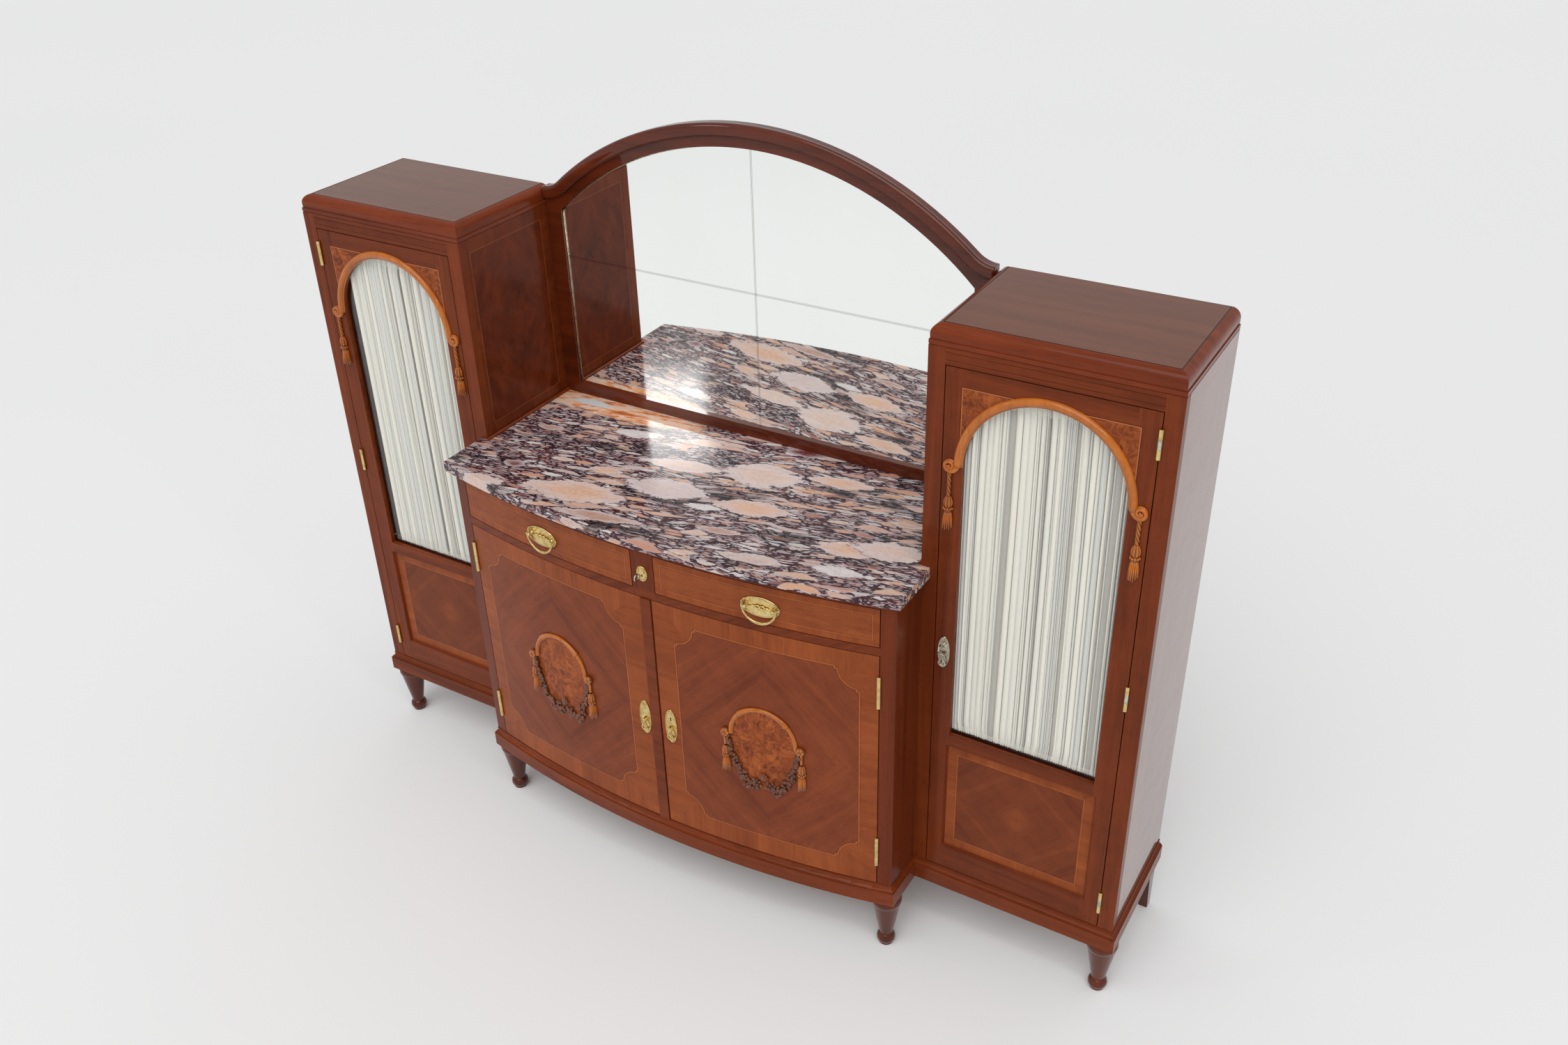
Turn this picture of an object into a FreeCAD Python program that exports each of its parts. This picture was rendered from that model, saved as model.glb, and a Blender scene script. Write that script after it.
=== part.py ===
import FreeCAD, Part
import math
import os

os.makedirs("parts", exist_ok=True)

V = FreeCAD.Vector
ORIGIN = V(0, 0, 0)
ACROSS = V(1, 0, 0)
BACK = V(0, 1, 0)
UP = V(0, 0, 1)
quarter_turn = 90.0
half_turn = 180.0

# All lengths in mm. While modelling, x runs right from the centre line, y runs back from the
# tower fronts and z runs up from the floor; the export moves y so that the depth is centred.
overrun = 5.0
tiny = 1e-6

# Towers
tower_inner_x = 558.0
tower_outer_x = 1028.0
tower_depth = 318.0
foot_height = 150.0
carcass_bottom_z = 196.0
tower_carcass_top_z = 1460.0
tower_top_z = 1500.0
board_thickness = 20.0
front_thickness = 22.0
inner_stile_width = 34.5
outer_stile_width = 33.5
frieze_bottom_z = 1427.0
tower_rail_top_z = 203.5
bottom_board_top_z = 214.0
back_panel_recess = 10.0
back_panel_y = tower_depth - back_panel_recess
back_panel_thickness = 8.0
shelf_top_heights = (461.0, 799.0, 1137.0)
shelf_thickness = 15.0
shelf_front_y = 45.0
frieze_line_heights = (1436.0, 1451.0)
frieze_line_width = 1.4
frieze_line_depth = 0.8

# Tower top moulding, as inset from the tower faces
top_groove_inset = 1.2
top_groove_height = 2.0
top_fillet_height = 8.0
second_groove_inset = 2.2
second_groove_height = 2.5
ovolo_start_inset = 1.8
ovolo_start_height = 5.5
ovolo_end_inset = 19.0
ovolo_middle_inset = 6.5
ovolo_middle_drop = 6.5
field_step_inset = 21.0
field_step_depth = 0.5

# Bowed centre, plan arcs about one centre line behind the cabinet
body_radius = 2500.0
centre_projection = 175.0
bow_centre_y = body_radius - centre_projection
post_lap = 4.4
post_width = 31.9
centre_half_width = tower_inner_x + post_lap
post_inner_x = centre_half_width - post_width
post_back_y = -79.0
side_board_thickness = 20.0
centre_top_z = 959.0
centre_door_thickness = 20.0
rail_depth = 40.0
door_gap = 2.0
bottom_rail_top_z = 204.0
drawer_rail_bottom_z = 829.0
drawer_rail_top_z = 848.0
top_rail_bottom_z = 942.0
lock_block_half = 28.0
centre_shelf_top_z = 523.0
centre_shelf_thickness = 18.0
centre_shelf_set_back = 62.0
dustboard_thickness = 10.0
guide_height = 22.0
guide_clearance = 2.0

# Marble
marble_thickness = 26.0
marble_overhang = 20.0
marble_side_overhang = 14.6
marble_corner_x = centre_half_width + marble_side_overhang
marble_chamfer = 1.5
bead_width = 8.0
bead_height = 6.0

# Plinth
plinth_projection = 9.0
plinth_thickness = 16.0
plinth_band_top_z = 187.0
plinth_fillet_step = 2.0
plinth_fillet_height = 3.0
plinth_cove_top_z = 201.0
plinth_cove_end = 1.5
plinth_cove_bulge = 2.2
plinth_top_z = 203.0
corner_block = 50.0
back_rail_depth = 22.0

# Turned feet and square legs
foot_inset = 24.0
foot_centre_x = tower_outer_x - foot_inset
foot_centre_y = 26.0
centre_foot_inset = 22.4
centre_foot_x = centre_half_width - centre_foot_inset
centre_foot_y = -87.0
foot_top_radius = 29.0
foot_shoulder_radius = 34.0
foot_shoulder_drop = 9.0
foot_shoulder_z = foot_height - foot_shoulder_drop
foot_under_shoulder_radius = 32.0
foot_under_shoulder_drop = 15.0
foot_under_shoulder_z = foot_shoulder_z - foot_under_shoulder_drop
foot_ankle_radius = 15.0
foot_ankle_z = 30.0
foot_ring_radius = 21.5
foot_ring_z = 17.0
foot_pad_radius = 16.0
foot_pad_z = 4.0
leg_top_width = 40.0
leg_bottom_width = 20.0

# Mirror
mirror_frame_depth = 18.0
mirror_front_y = tower_depth - mirror_frame_depth
mirror_side_gap = 0.5
mirror_side_width = 42.5
mirror_outer_x = tower_inner_x - mirror_side_gap
mirror_inner_x = mirror_outer_x - mirror_side_width
mirror_rail_height = 28.0
mirror_outer_radius = 790.0
mirror_arc_width = 50.0
mirror_inner_radius = mirror_outer_radius - mirror_arc_width
mirror_shoulder_width = 47.5
mirror_shoulder_x = mirror_outer_x - mirror_shoulder_width
mirror_shoulder_z = 1502.0
mirror_arc_foot_rise = 19.3
mirror_arc_rise = math.sqrt(mirror_outer_radius ** 2 - mirror_shoulder_x ** 2)
mirror_arc_centre_z = mirror_shoulder_z + mirror_arc_foot_rise - mirror_arc_rise
mirror_reverse_middle_x = mirror_outer_x - mirror_shoulder_width / 2
mirror_reverse_middle_rise = 4.4
mirror_reverse_middle_z = mirror_shoulder_z + mirror_reverse_middle_rise
mirror_rebate_depth = 10.0
mirror_rebate_width = 8.0
mirror_glass_thickness = 4.0
mirror_joint_z = 1337.0
mirror_joint_half_gap = 0.3
nose_projection = 10.0
nose_width = 28.0
nose_step_inset = 4.0
nose_step_depth = 4.0
nose_reverse_inset = 35.0
nose_reverse_middle_x = mirror_outer_x - nose_reverse_inset
nose_reverse_middle_drop = 25.8

# Tower doors
door_bottom_gap = 1.5
door_inner_x = tower_inner_x + inner_stile_width + door_gap
door_outer_x = tower_outer_x - outer_stile_width - door_gap
door_half_width = (door_outer_x - door_inner_x) / 2
door_centre_x = (door_outer_x + door_inner_x) / 2
tower_door_bottom_z = tower_rail_top_z + door_bottom_gap
tower_door_top_z = frieze_bottom_z - door_gap
door_stile_width = 41.0
glass_half_width = door_half_width - door_stile_width
glass_sill_z = 583.0
arch_rail_width = 41.0
arch_crown_z = tower_door_top_z - arch_rail_width
arch_spring_z = arch_crown_z - glass_half_width
glass_rebate_y = 10.0
glass_rebate_width = 8.0
glass_thickness = 3.0
glass_clearance = 1.0
panel_stile_width = 37.5
panel_half_width = door_half_width - panel_stile_width
panel_bottom_z = 268.0
panel_top_z = 550.0
panel_front_y = 8.0
panel_thickness = 8.0
panel_tongue = 6.0
panel_bevel = 4.0
rail_split_low_z = 409.0
rail_split_high_z = 900.0

# Rope arch and its tassels
rope_radius = 8.5
rope_margin = 9.5
rope_arch_radius = glass_half_width + rope_margin
scroll_radius = 13.5
scroll_thickness = 10.0
scroll_reach = 15.0
scroll_offset = rope_arch_radius + scroll_reach
scroll_eye_radius = 5.0
scroll_eye_height = 2.5
tassel_axis_y = -3.0
cord_radius = 4.5
tassel_cord_length = 66.0
tassel_bell_top_z = arch_spring_z - tassel_cord_length
tassel_bell_radius = 9.0
tassel_bell_length = 23.0
tassel_bell_bottom_z = tassel_bell_top_z - tassel_bell_length
tassel_bead_radius = 10.2
tassel_bead_drop = 5.0
tassel_bead_z = tassel_bell_bottom_z - tassel_bead_drop
tassel_neck_radius = 7.0
tassel_neck_drop = 5.0
tassel_neck_z = tassel_bead_z - tassel_neck_drop
tassel_skirt_radius = 11.0
tassel_skirt_length = 40.0
tassel_tip_z = tassel_neck_z - tassel_skirt_length

# Curtains
curtain_centre_y = 20.0
curtain_hem_rise = 3.0
curtain_hem_z = glass_sill_z + curtain_hem_rise
curtain_head_drop = 4.0
curtain_head_z = arch_crown_z - curtain_head_drop
curtain_margin = 5.0
curtain_half_width = glass_half_width + curtain_margin
left_curtain_bare_width = 20.0
curtain_thickness = 1.6
fold_shares = (1.0, 0.8, 1.15, 0.9, 1.2, 0.85, 1.05, 0.75, 1.1, 0.95, 1.25, 0.85, 1.0, 1.1, 0.8, 1.2, 0.9, 1.05, 0.95, 1.15)
fold_sag_share = 0.3
rod_radius = 2.5
rod_y = 26.7
rod_margin = 14.0
rod_half_length = glass_half_width + rod_margin
rod_inset = 6.0
rod_heights = (curtain_head_z - rod_inset, curtain_hem_z + rod_inset)
rod_bracket_width = 5.0
rod_bracket_half_height = 5.0
rod_bracket_back = 3.5

# Hinges
barrel_radius = 4.5
hinge_pin_radius = 2.0
hinge_running_clearance = 0.05
knuckle_end_clearance = 0.1
relief_clearance = 0.3
leaf_inner_gap = 0.05
leaf_reach = 20.0
tower_hinge_length = 58.0
tower_hinge_heights = (1367.0, 821.0, 279.0)
centre_hinge_length = 80.0
centre_hinge_heights = (740.0, 303.0)
hinge_pin_proud = 3.0

# Lock plates, drops and keys
plate_thickness = 2.0
tower_plate_inset = 20.1
tower_plate_x = door_inner_x + tower_plate_inset
tower_plate_z = 795.0
tower_plate_half_width = 13.5
tower_plate_half_height = 37.5
centre_plate_half_width = 15.5
centre_plate_half_height = 46.5
centre_plate_z = 497.0
right_centre_plate_x = 43.0
left_centre_plate_x = -26.5
keyhole_slot_half = 1.3
keyhole_slot_drop = 8.0
keyhole_rise_share = 0.48
drop_pivot_share = 0.1
drop_pin_radius = 1.2
drop_eye_radius = 2.6
drop_eye_half_length = 3.0
drop_lug_thickness = 2.0
drop_lug_gap = 0.2
drop_lug_half_height = 2.8
drop_standoff = 5.5
drop_loop_half_width = 9.0
drop_loop_length = 30.0
drop_loop_bar = 3.0
drop_loop_thickness = 3.0
key_shaft_radius = 2.0
keyhole_clearance = 0.08
keyhole_radius = key_shaft_radius + keyhole_clearance
key_stick_out = 26.0
key_bow_radius = 9.0
key_bow_hole_radius = 6.0
key_bow_thickness = 3.0
key_bit_reach = 6.5
key_bit_thickness = 1.6
key_bit_length = 4.0
key_collar_radius = 3.0
key_collar_length = 2.0

# Tower door lock
lock_case_width = 30.0
lock_case_depth = 11.0
lock_case_wall = 1.5
lock_case_above_key = 13.0
lock_case_below_key = 31.0
bolt_travel = 7.0
bolt_length = 16.0
bolt_half_height = 7.0
bolt_thickness = 5.0
bolt_below_key = 17.0
bolt_clearance = 0.4
bolt_set_back = 1.0
mortise_depth = 7.5

# Centre lock between the drawers
escutcheon_half_width = 13.5
escutcheon_half_height = 19.0
escutcheon_z = 891.0
centre_case_half_width = 18.0
centre_case_half_height = 17.0
centre_case_depth = 20.0
centre_case_cover = 5.0
centre_bolt_inner_x = 9.0
centre_bolt_half_height = 5.0

# Centre doors and their wreaths
centre_door_bottom_z = 206.0
centre_door_top_z = 827.5
right_door_free_x = 17.0
left_door_free_x = 15.0
astragal_width = 26.0
astragal_thickness = 3.0
astragal_drop = 3.0
wreath_x = 273.5
wreath_radius = 88.0
wreath_rope_radius = 7.0
wreath_spring_z = 539.0
wreath_knob_radius = 10.0
wreath_tassel_drop = 7.0
wreath_cord_length = 62.0
wreath_tassel_length = 50.0
wreath_tassel_top_z = wreath_spring_z - wreath_tassel_drop
wreath_tassel_bell_z = wreath_tassel_top_z - wreath_cord_length
wreath_tassel_tip_z = wreath_tassel_bell_z - wreath_tassel_length
wreath_tassel_radius = 8.5
wreath_cord_radius = 3.6
swag_width = 9.0
swag_height = 3.0
swag_fall_x = 68.0
swag_fall_drop = 87.0
swag_fall_z = wreath_spring_z - swag_fall_drop
swag_low_x = 33.0
swag_low_drop = 148.0
swag_low_z = wreath_spring_z - swag_low_drop
swag_rise_x = 14.0
swag_rise_drop = 135.0
swag_rise_z = wreath_spring_z - swag_rise_drop
swag_centre_drop = 111.0
swag_centre_z = wreath_spring_z - swag_centre_drop
blossom_drops = ((78.0, 42.0), (72.0, 65.0), (64.0, 88.0), (55.0, 109.0), (45.0, 128.0), (33.0, 140.0),
                 (20.0, 130.0), (10.0, 114.0), (0.0, 99.0))
blossom_radii = (6.5, 7.0, 8.0, 9.0, 10.5, 11.5, 10.0, 9.0, 12.0)
blossom_height_share = 0.7
blossom_top_share = 0.55
relief_base = 4.0

# Drawers
drawer_front_bottom_z = 850.0
drawer_front_top_z = 940.5
drawer_inner_x = 30.0
drawer_box_inner_x = 40.0
drawer_box_side_gap = 10.5
drawer_box_outer_x = post_inner_x - drawer_box_side_gap
drawer_side_thickness = 10.0
drawer_box_top_z = 925.0
drawer_bottom_z = 856.0
drawer_bottom_thickness = 5.0
drawer_back_y = 250.0
pull_x = 280.0
pull_z = 890.0
pull_half_width = 44.0
pull_half_height = 24.0
pull_post_x = 30.5
pull_post_radius = 3.5
pull_post_length = 13.0
pull_pivot_standoff = 8.0
pull_pin_radius = 2.0
pull_pin_length = 10.0
bail_bar_radius = 2.5
bail_end_x = 38.0
bail_drop = 35.0
pull_ornament_radii = (6.0, 4.5, 3.2)
pull_ornament_offsets = (0.0, 9.5, 17.0)

depth_front_y = min(-centre_projection - marble_overhang, -centre_projection - plate_thickness - key_stick_out)
depth_shift = V(0, -(depth_front_y + tower_depth) / 2, 0)


def box(x0, x1, y0, y1, z0, z1):
    return Part.makeBox(x1 - x0, y1 - y0, z1 - z0, V(x0, y0, z0))


def mirrored(shape):
    return shape.mirror(ORIGIN, ACROSS)


def both_sides(shapes):
    return list(shapes) + [mirrored(shape) for shape in shapes]


def outline_face(steps, place):
    """Face through the steps: two numbers are a straight step, four are an arc's middle and end."""
    edges = []
    here = place(*steps[0])
    for step in steps[1:] + steps[:1]:
        there = place(*step[-2:])
        if len(step) == 4:
            edges.append(Part.Arc(here, place(*step[:2]), there).toShape())
        elif here.distanceToPoint(there) > tiny:
            edges.append(Part.makeLine(here, there))
        here = there
    return Part.Face(Part.Wire(edges))


def front_prism(steps, y0, y1):
    face = outline_face(steps, lambda x, z: V(x, y0, z))
    return face.extrude(V(0, y1 - y0, 0))


def plan_prism(steps, z0, z1):
    face = outline_face(steps, lambda x, y: V(x, y, z0))
    return face.extrude(V(0, 0, z1 - z0))


def bow_y(x, radius):
    return bow_centre_y - math.sqrt(radius ** 2 - x ** 2)


def bow_arc(x0, x1, radius):
    """Arc step from x0 to x1 on the bow of one radius."""
    middle = (x0 + x1) / 2
    return (middle, bow_y(middle, radius), x1, bow_y(x1, radius))


def bow_slab(x0, x1, front_radius, back_radius, z0, z1):
    steps = [(x0, bow_y(x0, front_radius)), bow_arc(x0, x1, front_radius), (x1, bow_y(x1, back_radius)),
             bow_arc(x1, x0, back_radius)]
    return plan_prism(steps, z0, z1)


def bow_block(x0, x1, front_radius, back_y, z0, z1):
    steps = [(x0, bow_y(x0, front_radius)), bow_arc(x0, x1, front_radius), (x1, back_y), (x0, back_y)]
    return plan_prism(steps, z0, z1)


def bow_cylinder(radius, z0, z1):
    return Part.makeCylinder(radius, z1 - z0, V(0, bow_centre_y, z0))


def edge_slab(edge):
    """Slab with a moulded edge facing +x at x = 0; edge steps are outward offset and height."""
    reach = 2 * tower_outer_x
    steps = [(-reach, edge[0][-1])] + list(edge) + [(-reach, edge[-1][-1])]
    face = outline_face(steps, lambda u, z: V(u, -reach, z))
    return face.extrude(V(0, 2 * reach, 0))


def bow_edge_slab(edge):
    """The same moulded edge carried round the bow."""
    spread = math.degrees(math.asin(marble_corner_x / body_radius)) + overrun
    inner = body_radius - 2 * tower_depth
    steps = [(inner - body_radius, edge[0][-1])] + list(edge) + [(inner - body_radius, edge[-1][-1])]
    face = outline_face(steps, lambda u, z: V(0, bow_centre_y - body_radius - u, z))
    axis_point = V(0, bow_centre_y, 0)
    face = face.rotated(axis_point, UP, -spread)
    return face.revolve(axis_point, UP, 2 * spread)


def right_edge(edge, x):
    return edge_slab(edge).translated(V(x, 0, 0))


def front_edge(edge, y):
    return edge_slab(edge).rotated(ORIGIN, UP, -quarter_turn).translated(V(0, y, 0))


def left_edge(edge, x):
    return edge_slab(edge).rotated(ORIGIN, UP, half_turn).translated(V(x, 0, 0))


def export(name, shapes):
    shape = Part.makeCompound(list(shapes))
    shape.translate(depth_shift)
    shape.exportStep("parts/" + name + ".step")


# Hinges: each stands in the gap beside a door, its barrel proud of the front.

def knuckle(x, y, z0, z1):
    return Part.makeCylinder(barrel_radius, z1 - z0, V(x, y, z0))


def barrel_relief(x, y, z_centre, length):
    radius = barrel_radius + relief_clearance
    half = length / 2 + relief_clearance
    return Part.makeCylinder(radius, 2 * half, V(x, y, z_centre - half))


def hinge_leaf(x0, x1, y, z_centre, length, clear_zones, pin_x):
    leaf = box(x0, x1, y, y + leaf_reach, z_centre - length / 2, z_centre + length / 2)
    radius = barrel_radius + relief_clearance
    for z0, z1 in clear_zones:
        leaf = leaf.cut(Part.makeCylinder(radius, z1 - z0, V(pin_x, y, z0)))
    return leaf


def fixed_leaf(x, y, z, length):
    third = length / 3
    bottom = z - length / 2
    top = z + length / 2
    knuckles = [knuckle(x, y, bottom, bottom + third), knuckle(x, y, top - third, top)]
    pin = Part.makeCylinder(hinge_pin_radius, length, V(x, y, bottom))
    zone = [(bottom + third, top - third)]
    leaf = hinge_leaf(x + leaf_inner_gap, x + door_gap / 2, y, z, length, zone, x)
    return leaf.fuse(knuckles + [pin]).removeSplitter()


def moving_leaf(x, y, z, length):
    third = length / 3
    bottom = z - length / 2
    top = z + length / 2
    middle = knuckle(x, y, bottom + third + knuckle_end_clearance, top - third - knuckle_end_clearance)
    zones = [(bottom - overrun, bottom + third + knuckle_end_clearance),
             (top - third - knuckle_end_clearance, top + overrun)]
    leaf = hinge_leaf(x - door_gap / 2, x - leaf_inner_gap, y, z, length, zones, x)
    bore = Part.makeCylinder(hinge_pin_radius + hinge_running_clearance, length, V(x, y, bottom))
    return leaf.fuse(middle).cut(bore).removeSplitter()


tower_pin_x = door_centre_x + door_half_width + door_gap / 2
tower_pin_y = -hinge_pin_proud
centre_pin_x = post_inner_x - door_gap / 2
centre_pin_y = bow_y(centre_pin_x, body_radius) - hinge_pin_proud


def tower_reliefs():
    return [barrel_relief(tower_pin_x, tower_pin_y, z, tower_hinge_length) for z in tower_hinge_heights]


def centre_reliefs():
    return [barrel_relief(centre_pin_x, centre_pin_y, z, centre_hinge_length) for z in centre_hinge_heights]


def case_hinge_leaves():
    tower = [fixed_leaf(tower_pin_x, tower_pin_y, z, tower_hinge_length) for z in tower_hinge_heights]
    centre = [fixed_leaf(centre_pin_x, centre_pin_y, z, centre_hinge_length) for z in centre_hinge_heights]
    return both_sides(tower + centre)


# Case: towers

def tower_outer_side():
    return box(tower_outer_x - board_thickness, tower_outer_x, front_thickness, tower_depth,
               carcass_bottom_z, tower_carcass_top_z)


def tower_inner_side():
    return box(tower_inner_x, tower_inner_x + board_thickness, front_thickness, tower_depth,
               carcass_bottom_z, tower_carcass_top_z)


def tower_top_edge():
    base = tower_carcass_top_z
    fillet = base + top_groove_height
    second = base + top_groove_height + top_fillet_height
    third = second + second_groove_height
    spring = third + ovolo_start_height
    return [(-top_groove_inset, base), (-top_groove_inset, fillet), (0, fillet), (0, second),
            (-second_groove_inset, second), (-second_groove_inset, third), (-ovolo_start_inset, third),
            (-ovolo_start_inset, spring),
            (-ovolo_middle_inset, tower_top_z - ovolo_middle_drop, -ovolo_end_inset, tower_top_z)]


def tower_top():
    edge = tower_top_edge()
    block = right_edge(edge, tower_outer_x).common(front_edge(edge, 0)).common(left_edge(edge, tower_inner_x))
    block = block.common(box(tower_inner_x, tower_outer_x, 0, tower_depth, tower_carcass_top_z, tower_top_z))
    frame = box(tower_inner_x + ovolo_end_inset, tower_outer_x - ovolo_end_inset, ovolo_end_inset, tower_depth,
                tower_top_z - field_step_depth, tower_top_z)
    field = box(tower_inner_x + field_step_inset, tower_outer_x - field_step_inset, field_step_inset,
                tower_depth, tower_top_z - field_step_depth, tower_top_z)
    return block.cut(frame.cut(field))


def tower_inner_span():
    return tower_inner_x + board_thickness, tower_outer_x - board_thickness


def tower_bottom():
    x0, x1 = tower_inner_span()
    return box(x0, x1, front_thickness, back_panel_y, carcass_bottom_z, bottom_board_top_z)


def tower_shelves():
    x0, x1 = tower_inner_span()
    return [box(x0, x1, shelf_front_y, back_panel_y, top - shelf_thickness, top) for top in shelf_top_heights]


def frieze_rail(x0, x1):
    rail = box(x0, x1, 0, front_thickness, frieze_bottom_z, tower_carcass_top_z)
    for height in frieze_line_heights:
        rail = rail.cut(box(x0, x1, 0, frieze_line_depth, height, height + frieze_line_width))
    return rail


def bolt_mortise(x_edge, direction, y_centre, z_centre, half_height):
    """Pocket that a lock bolt enters, starting at x_edge and going in along direction."""
    reach = half_height + bolt_clearance
    half = bolt_thickness / 2 + bolt_clearance
    x0 = min(x_edge, x_edge + direction * mortise_depth)
    return box(x0, x0 + mortise_depth, y_centre - half, y_centre + half, z_centre - reach, z_centre + reach)


tower_key_z = tower_plate_z + keyhole_rise_share * tower_plate_half_height
tower_bolt_z = tower_key_z - bolt_below_key
tower_bolt_y = front_thickness - lock_case_depth / 2
tower_bolt_x = door_centre_x - door_half_width + bolt_set_back


def tower_face_frame():
    inner_edge = tower_inner_x + inner_stile_width
    outer_edge = tower_outer_x - outer_stile_width
    inner = box(tower_inner_x, inner_edge, 0, front_thickness, carcass_bottom_z, tower_carcass_top_z)
    inner = inner.cut(bolt_mortise(inner_edge, -1, tower_bolt_y, tower_bolt_z, bolt_half_height))
    outer = box(outer_edge, tower_outer_x, 0, front_thickness, carcass_bottom_z, tower_carcass_top_z)
    outer = outer.cut(tower_reliefs())
    bottom = box(inner_edge, outer_edge, 0, front_thickness, carcass_bottom_z, tower_rail_top_z)
    return [inner, outer, frieze_rail(inner_edge, outer_edge), bottom]


def back_panels():
    x0, x1 = tower_inner_span()
    back_y = back_panel_y + back_panel_thickness
    tower = box(x0, x1, back_panel_y, back_y, carcass_bottom_z, tower_carcass_top_z)
    centre = box(-tower_inner_x, tower_inner_x, back_panel_y, back_y, carcass_bottom_z, centre_top_z)
    return both_sides([tower]) + [centre]


# Case: bowed centre

def corner_post():
    post = bow_block(post_inner_x, centre_half_width, body_radius, post_back_y, carcass_bottom_z, centre_top_z)
    return post.cut(centre_reliefs())


def centre_side_board():
    return box(centre_half_width - side_board_thickness, centre_half_width, post_back_y, 0,
               carcass_bottom_z, centre_top_z)


def centre_board(front_radius, z0, z1):
    """Board filling the centre from a bowed front edge to the back panel, between posts and towers."""
    side_x = centre_half_width - side_board_thickness
    front = box(-post_inner_x, post_inner_x, -tower_depth, post_back_y, z0, z1)
    middle = box(-side_x, side_x, post_back_y, 0, z0, z1)
    rear = box(-tower_inner_x, tower_inner_x, 0, back_panel_y, z0, z1)
    room = front.fuse([middle, rear]).removeSplitter()
    return room.common(bow_cylinder(front_radius, z0, z1))


def centre_boards():
    rail_back = body_radius - front_thickness
    bottom = centre_board(rail_back, carcass_bottom_z, bottom_board_top_z)
    door_space = bow_slab(-post_inner_x, post_inner_x, body_radius, body_radius - front_thickness,
                          bottom_rail_top_z, bottom_board_top_z)
    shelf = centre_board(body_radius - centre_shelf_set_back, centre_shelf_top_z - centre_shelf_thickness,
                         centre_shelf_top_z)
    return [bottom.cut(door_space), shelf] + drawer_dustboard()


def centre_bolt_y():
    return -centre_projection + centre_case_cover + centre_case_depth / 2


def lock_block():
    block = bow_slab(-lock_block_half, lock_block_half, body_radius, body_radius - rail_depth,
                     drawer_rail_top_z, top_rail_bottom_z)
    front_y = -centre_projection + centre_case_cover
    pocket = box(-centre_case_half_width, centre_case_half_width, front_y, front_y + rail_depth,
                 escutcheon_z - centre_case_half_height, escutcheon_z + centre_case_half_height)
    half_y = bolt_thickness / 2 + bolt_clearance
    half_z = centre_bolt_half_height + bolt_clearance
    channel = box(-lock_block_half, lock_block_half, centre_bolt_y() - half_y, centre_bolt_y() + half_y,
                  escutcheon_z - half_z, escutcheon_z + half_z)
    return block.cut([pocket, channel, keyhole_cutter(0, -centre_projection, escutcheon_z, rail_depth)])


def front_rails():
    back_radius = body_radius - rail_depth
    bottom = bow_slab(-post_inner_x, post_inner_x, body_radius, body_radius - front_thickness,
                      carcass_bottom_z, bottom_rail_top_z)
    drawer = bow_slab(-post_inner_x, post_inner_x, body_radius, back_radius, drawer_rail_bottom_z,
                      drawer_rail_top_z)
    top = bow_slab(-post_inner_x, post_inner_x, body_radius, back_radius, top_rail_bottom_z, centre_top_z)
    return [bottom, drawer, top, lock_block()]


def drawer_dustboard():
    board = centre_board(body_radius - rail_depth, drawer_rail_top_z - dustboard_thickness, drawer_rail_top_z)
    middle_half = drawer_box_inner_x - guide_clearance
    top = drawer_rail_top_z + guide_height
    middle = box(-middle_half, middle_half, -centre_projection + rail_depth + guide_clearance, drawer_back_y,
                 drawer_rail_top_z, top)
    side = box(drawer_box_outer_x + guide_clearance, centre_half_width - side_board_thickness, post_back_y,
               drawer_back_y, drawer_rail_top_z, top)
    return [board, middle] + both_sides([side])


def chamfered_edge(z0, z1):
    return [(-marble_chamfer, z0), (0, z0 + marble_chamfer), (0, z1 - marble_chamfer), (-marble_chamfer, z1)]


def marble_top():
    z1 = centre_top_z + marble_thickness
    edge = chamfered_edge(centre_top_z, z1)
    bow = bow_edge_slab([(u + marble_overhang, z) for u, z in edge])
    front = bow.common(right_edge(edge, marble_corner_x)).common(left_edge(edge, -marble_corner_x))
    front = front.common(box(-marble_corner_x, marble_corner_x, -tower_depth, 0, centre_top_z, z1))
    rear = box(-tower_inner_x, tower_inner_x, 0, tower_depth, centre_top_z, z1)
    return front.fuse(rear).removeSplitter()


def marble_bead():
    z0 = centre_top_z + marble_thickness
    half = bead_width / 2
    x1 = tower_inner_x
    steps = [(x1 - bead_width, z0), (x1 - bead_width, z0 + bead_height / 2),
             (x1 - half, z0 + bead_height, x1, z0 + bead_height / 2), (x1, z0)]
    return front_prism(steps, 0, mirror_front_y)


# Plinth, feet and legs

def plinth_edge():
    step = plinth_projection - plinth_fillet_step
    fillet_top = plinth_band_top_z + plinth_fillet_height
    middle_u = (step + plinth_cove_end) / 2 - plinth_cove_bulge
    middle_z = (fillet_top + plinth_cove_top_z) / 2 - plinth_cove_bulge
    return [(plinth_projection, foot_height), (plinth_projection, plinth_band_top_z), (step, plinth_band_top_z),
            (step, fillet_top), (middle_u, middle_z, plinth_cove_end, plinth_cove_top_z),
            (plinth_cove_end, plinth_top_z)]


def centre_plinth_block():
    edge = plinth_edge()
    block = bow_edge_slab(edge).common(right_edge(edge, centre_half_width))
    block = block.common(left_edge(edge, -centre_half_width))
    reach = 2 * centre_half_width
    return block.common(box(-reach, reach, -tower_depth, 0, foot_height, plinth_top_z))


def centre_plinth_room():
    inner_x = centre_half_width - plinth_thickness
    return bow_block(-inner_x, inner_x, body_radius - plinth_thickness, tower_depth, foot_height,
                     carcass_bottom_z)


def centre_plinth():
    body = bow_block(-centre_half_width, centre_half_width, body_radius, overrun, carcass_bottom_z,
                     tower_carcass_top_z)
    return centre_plinth_block().cut([body, centre_plinth_room()])


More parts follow.
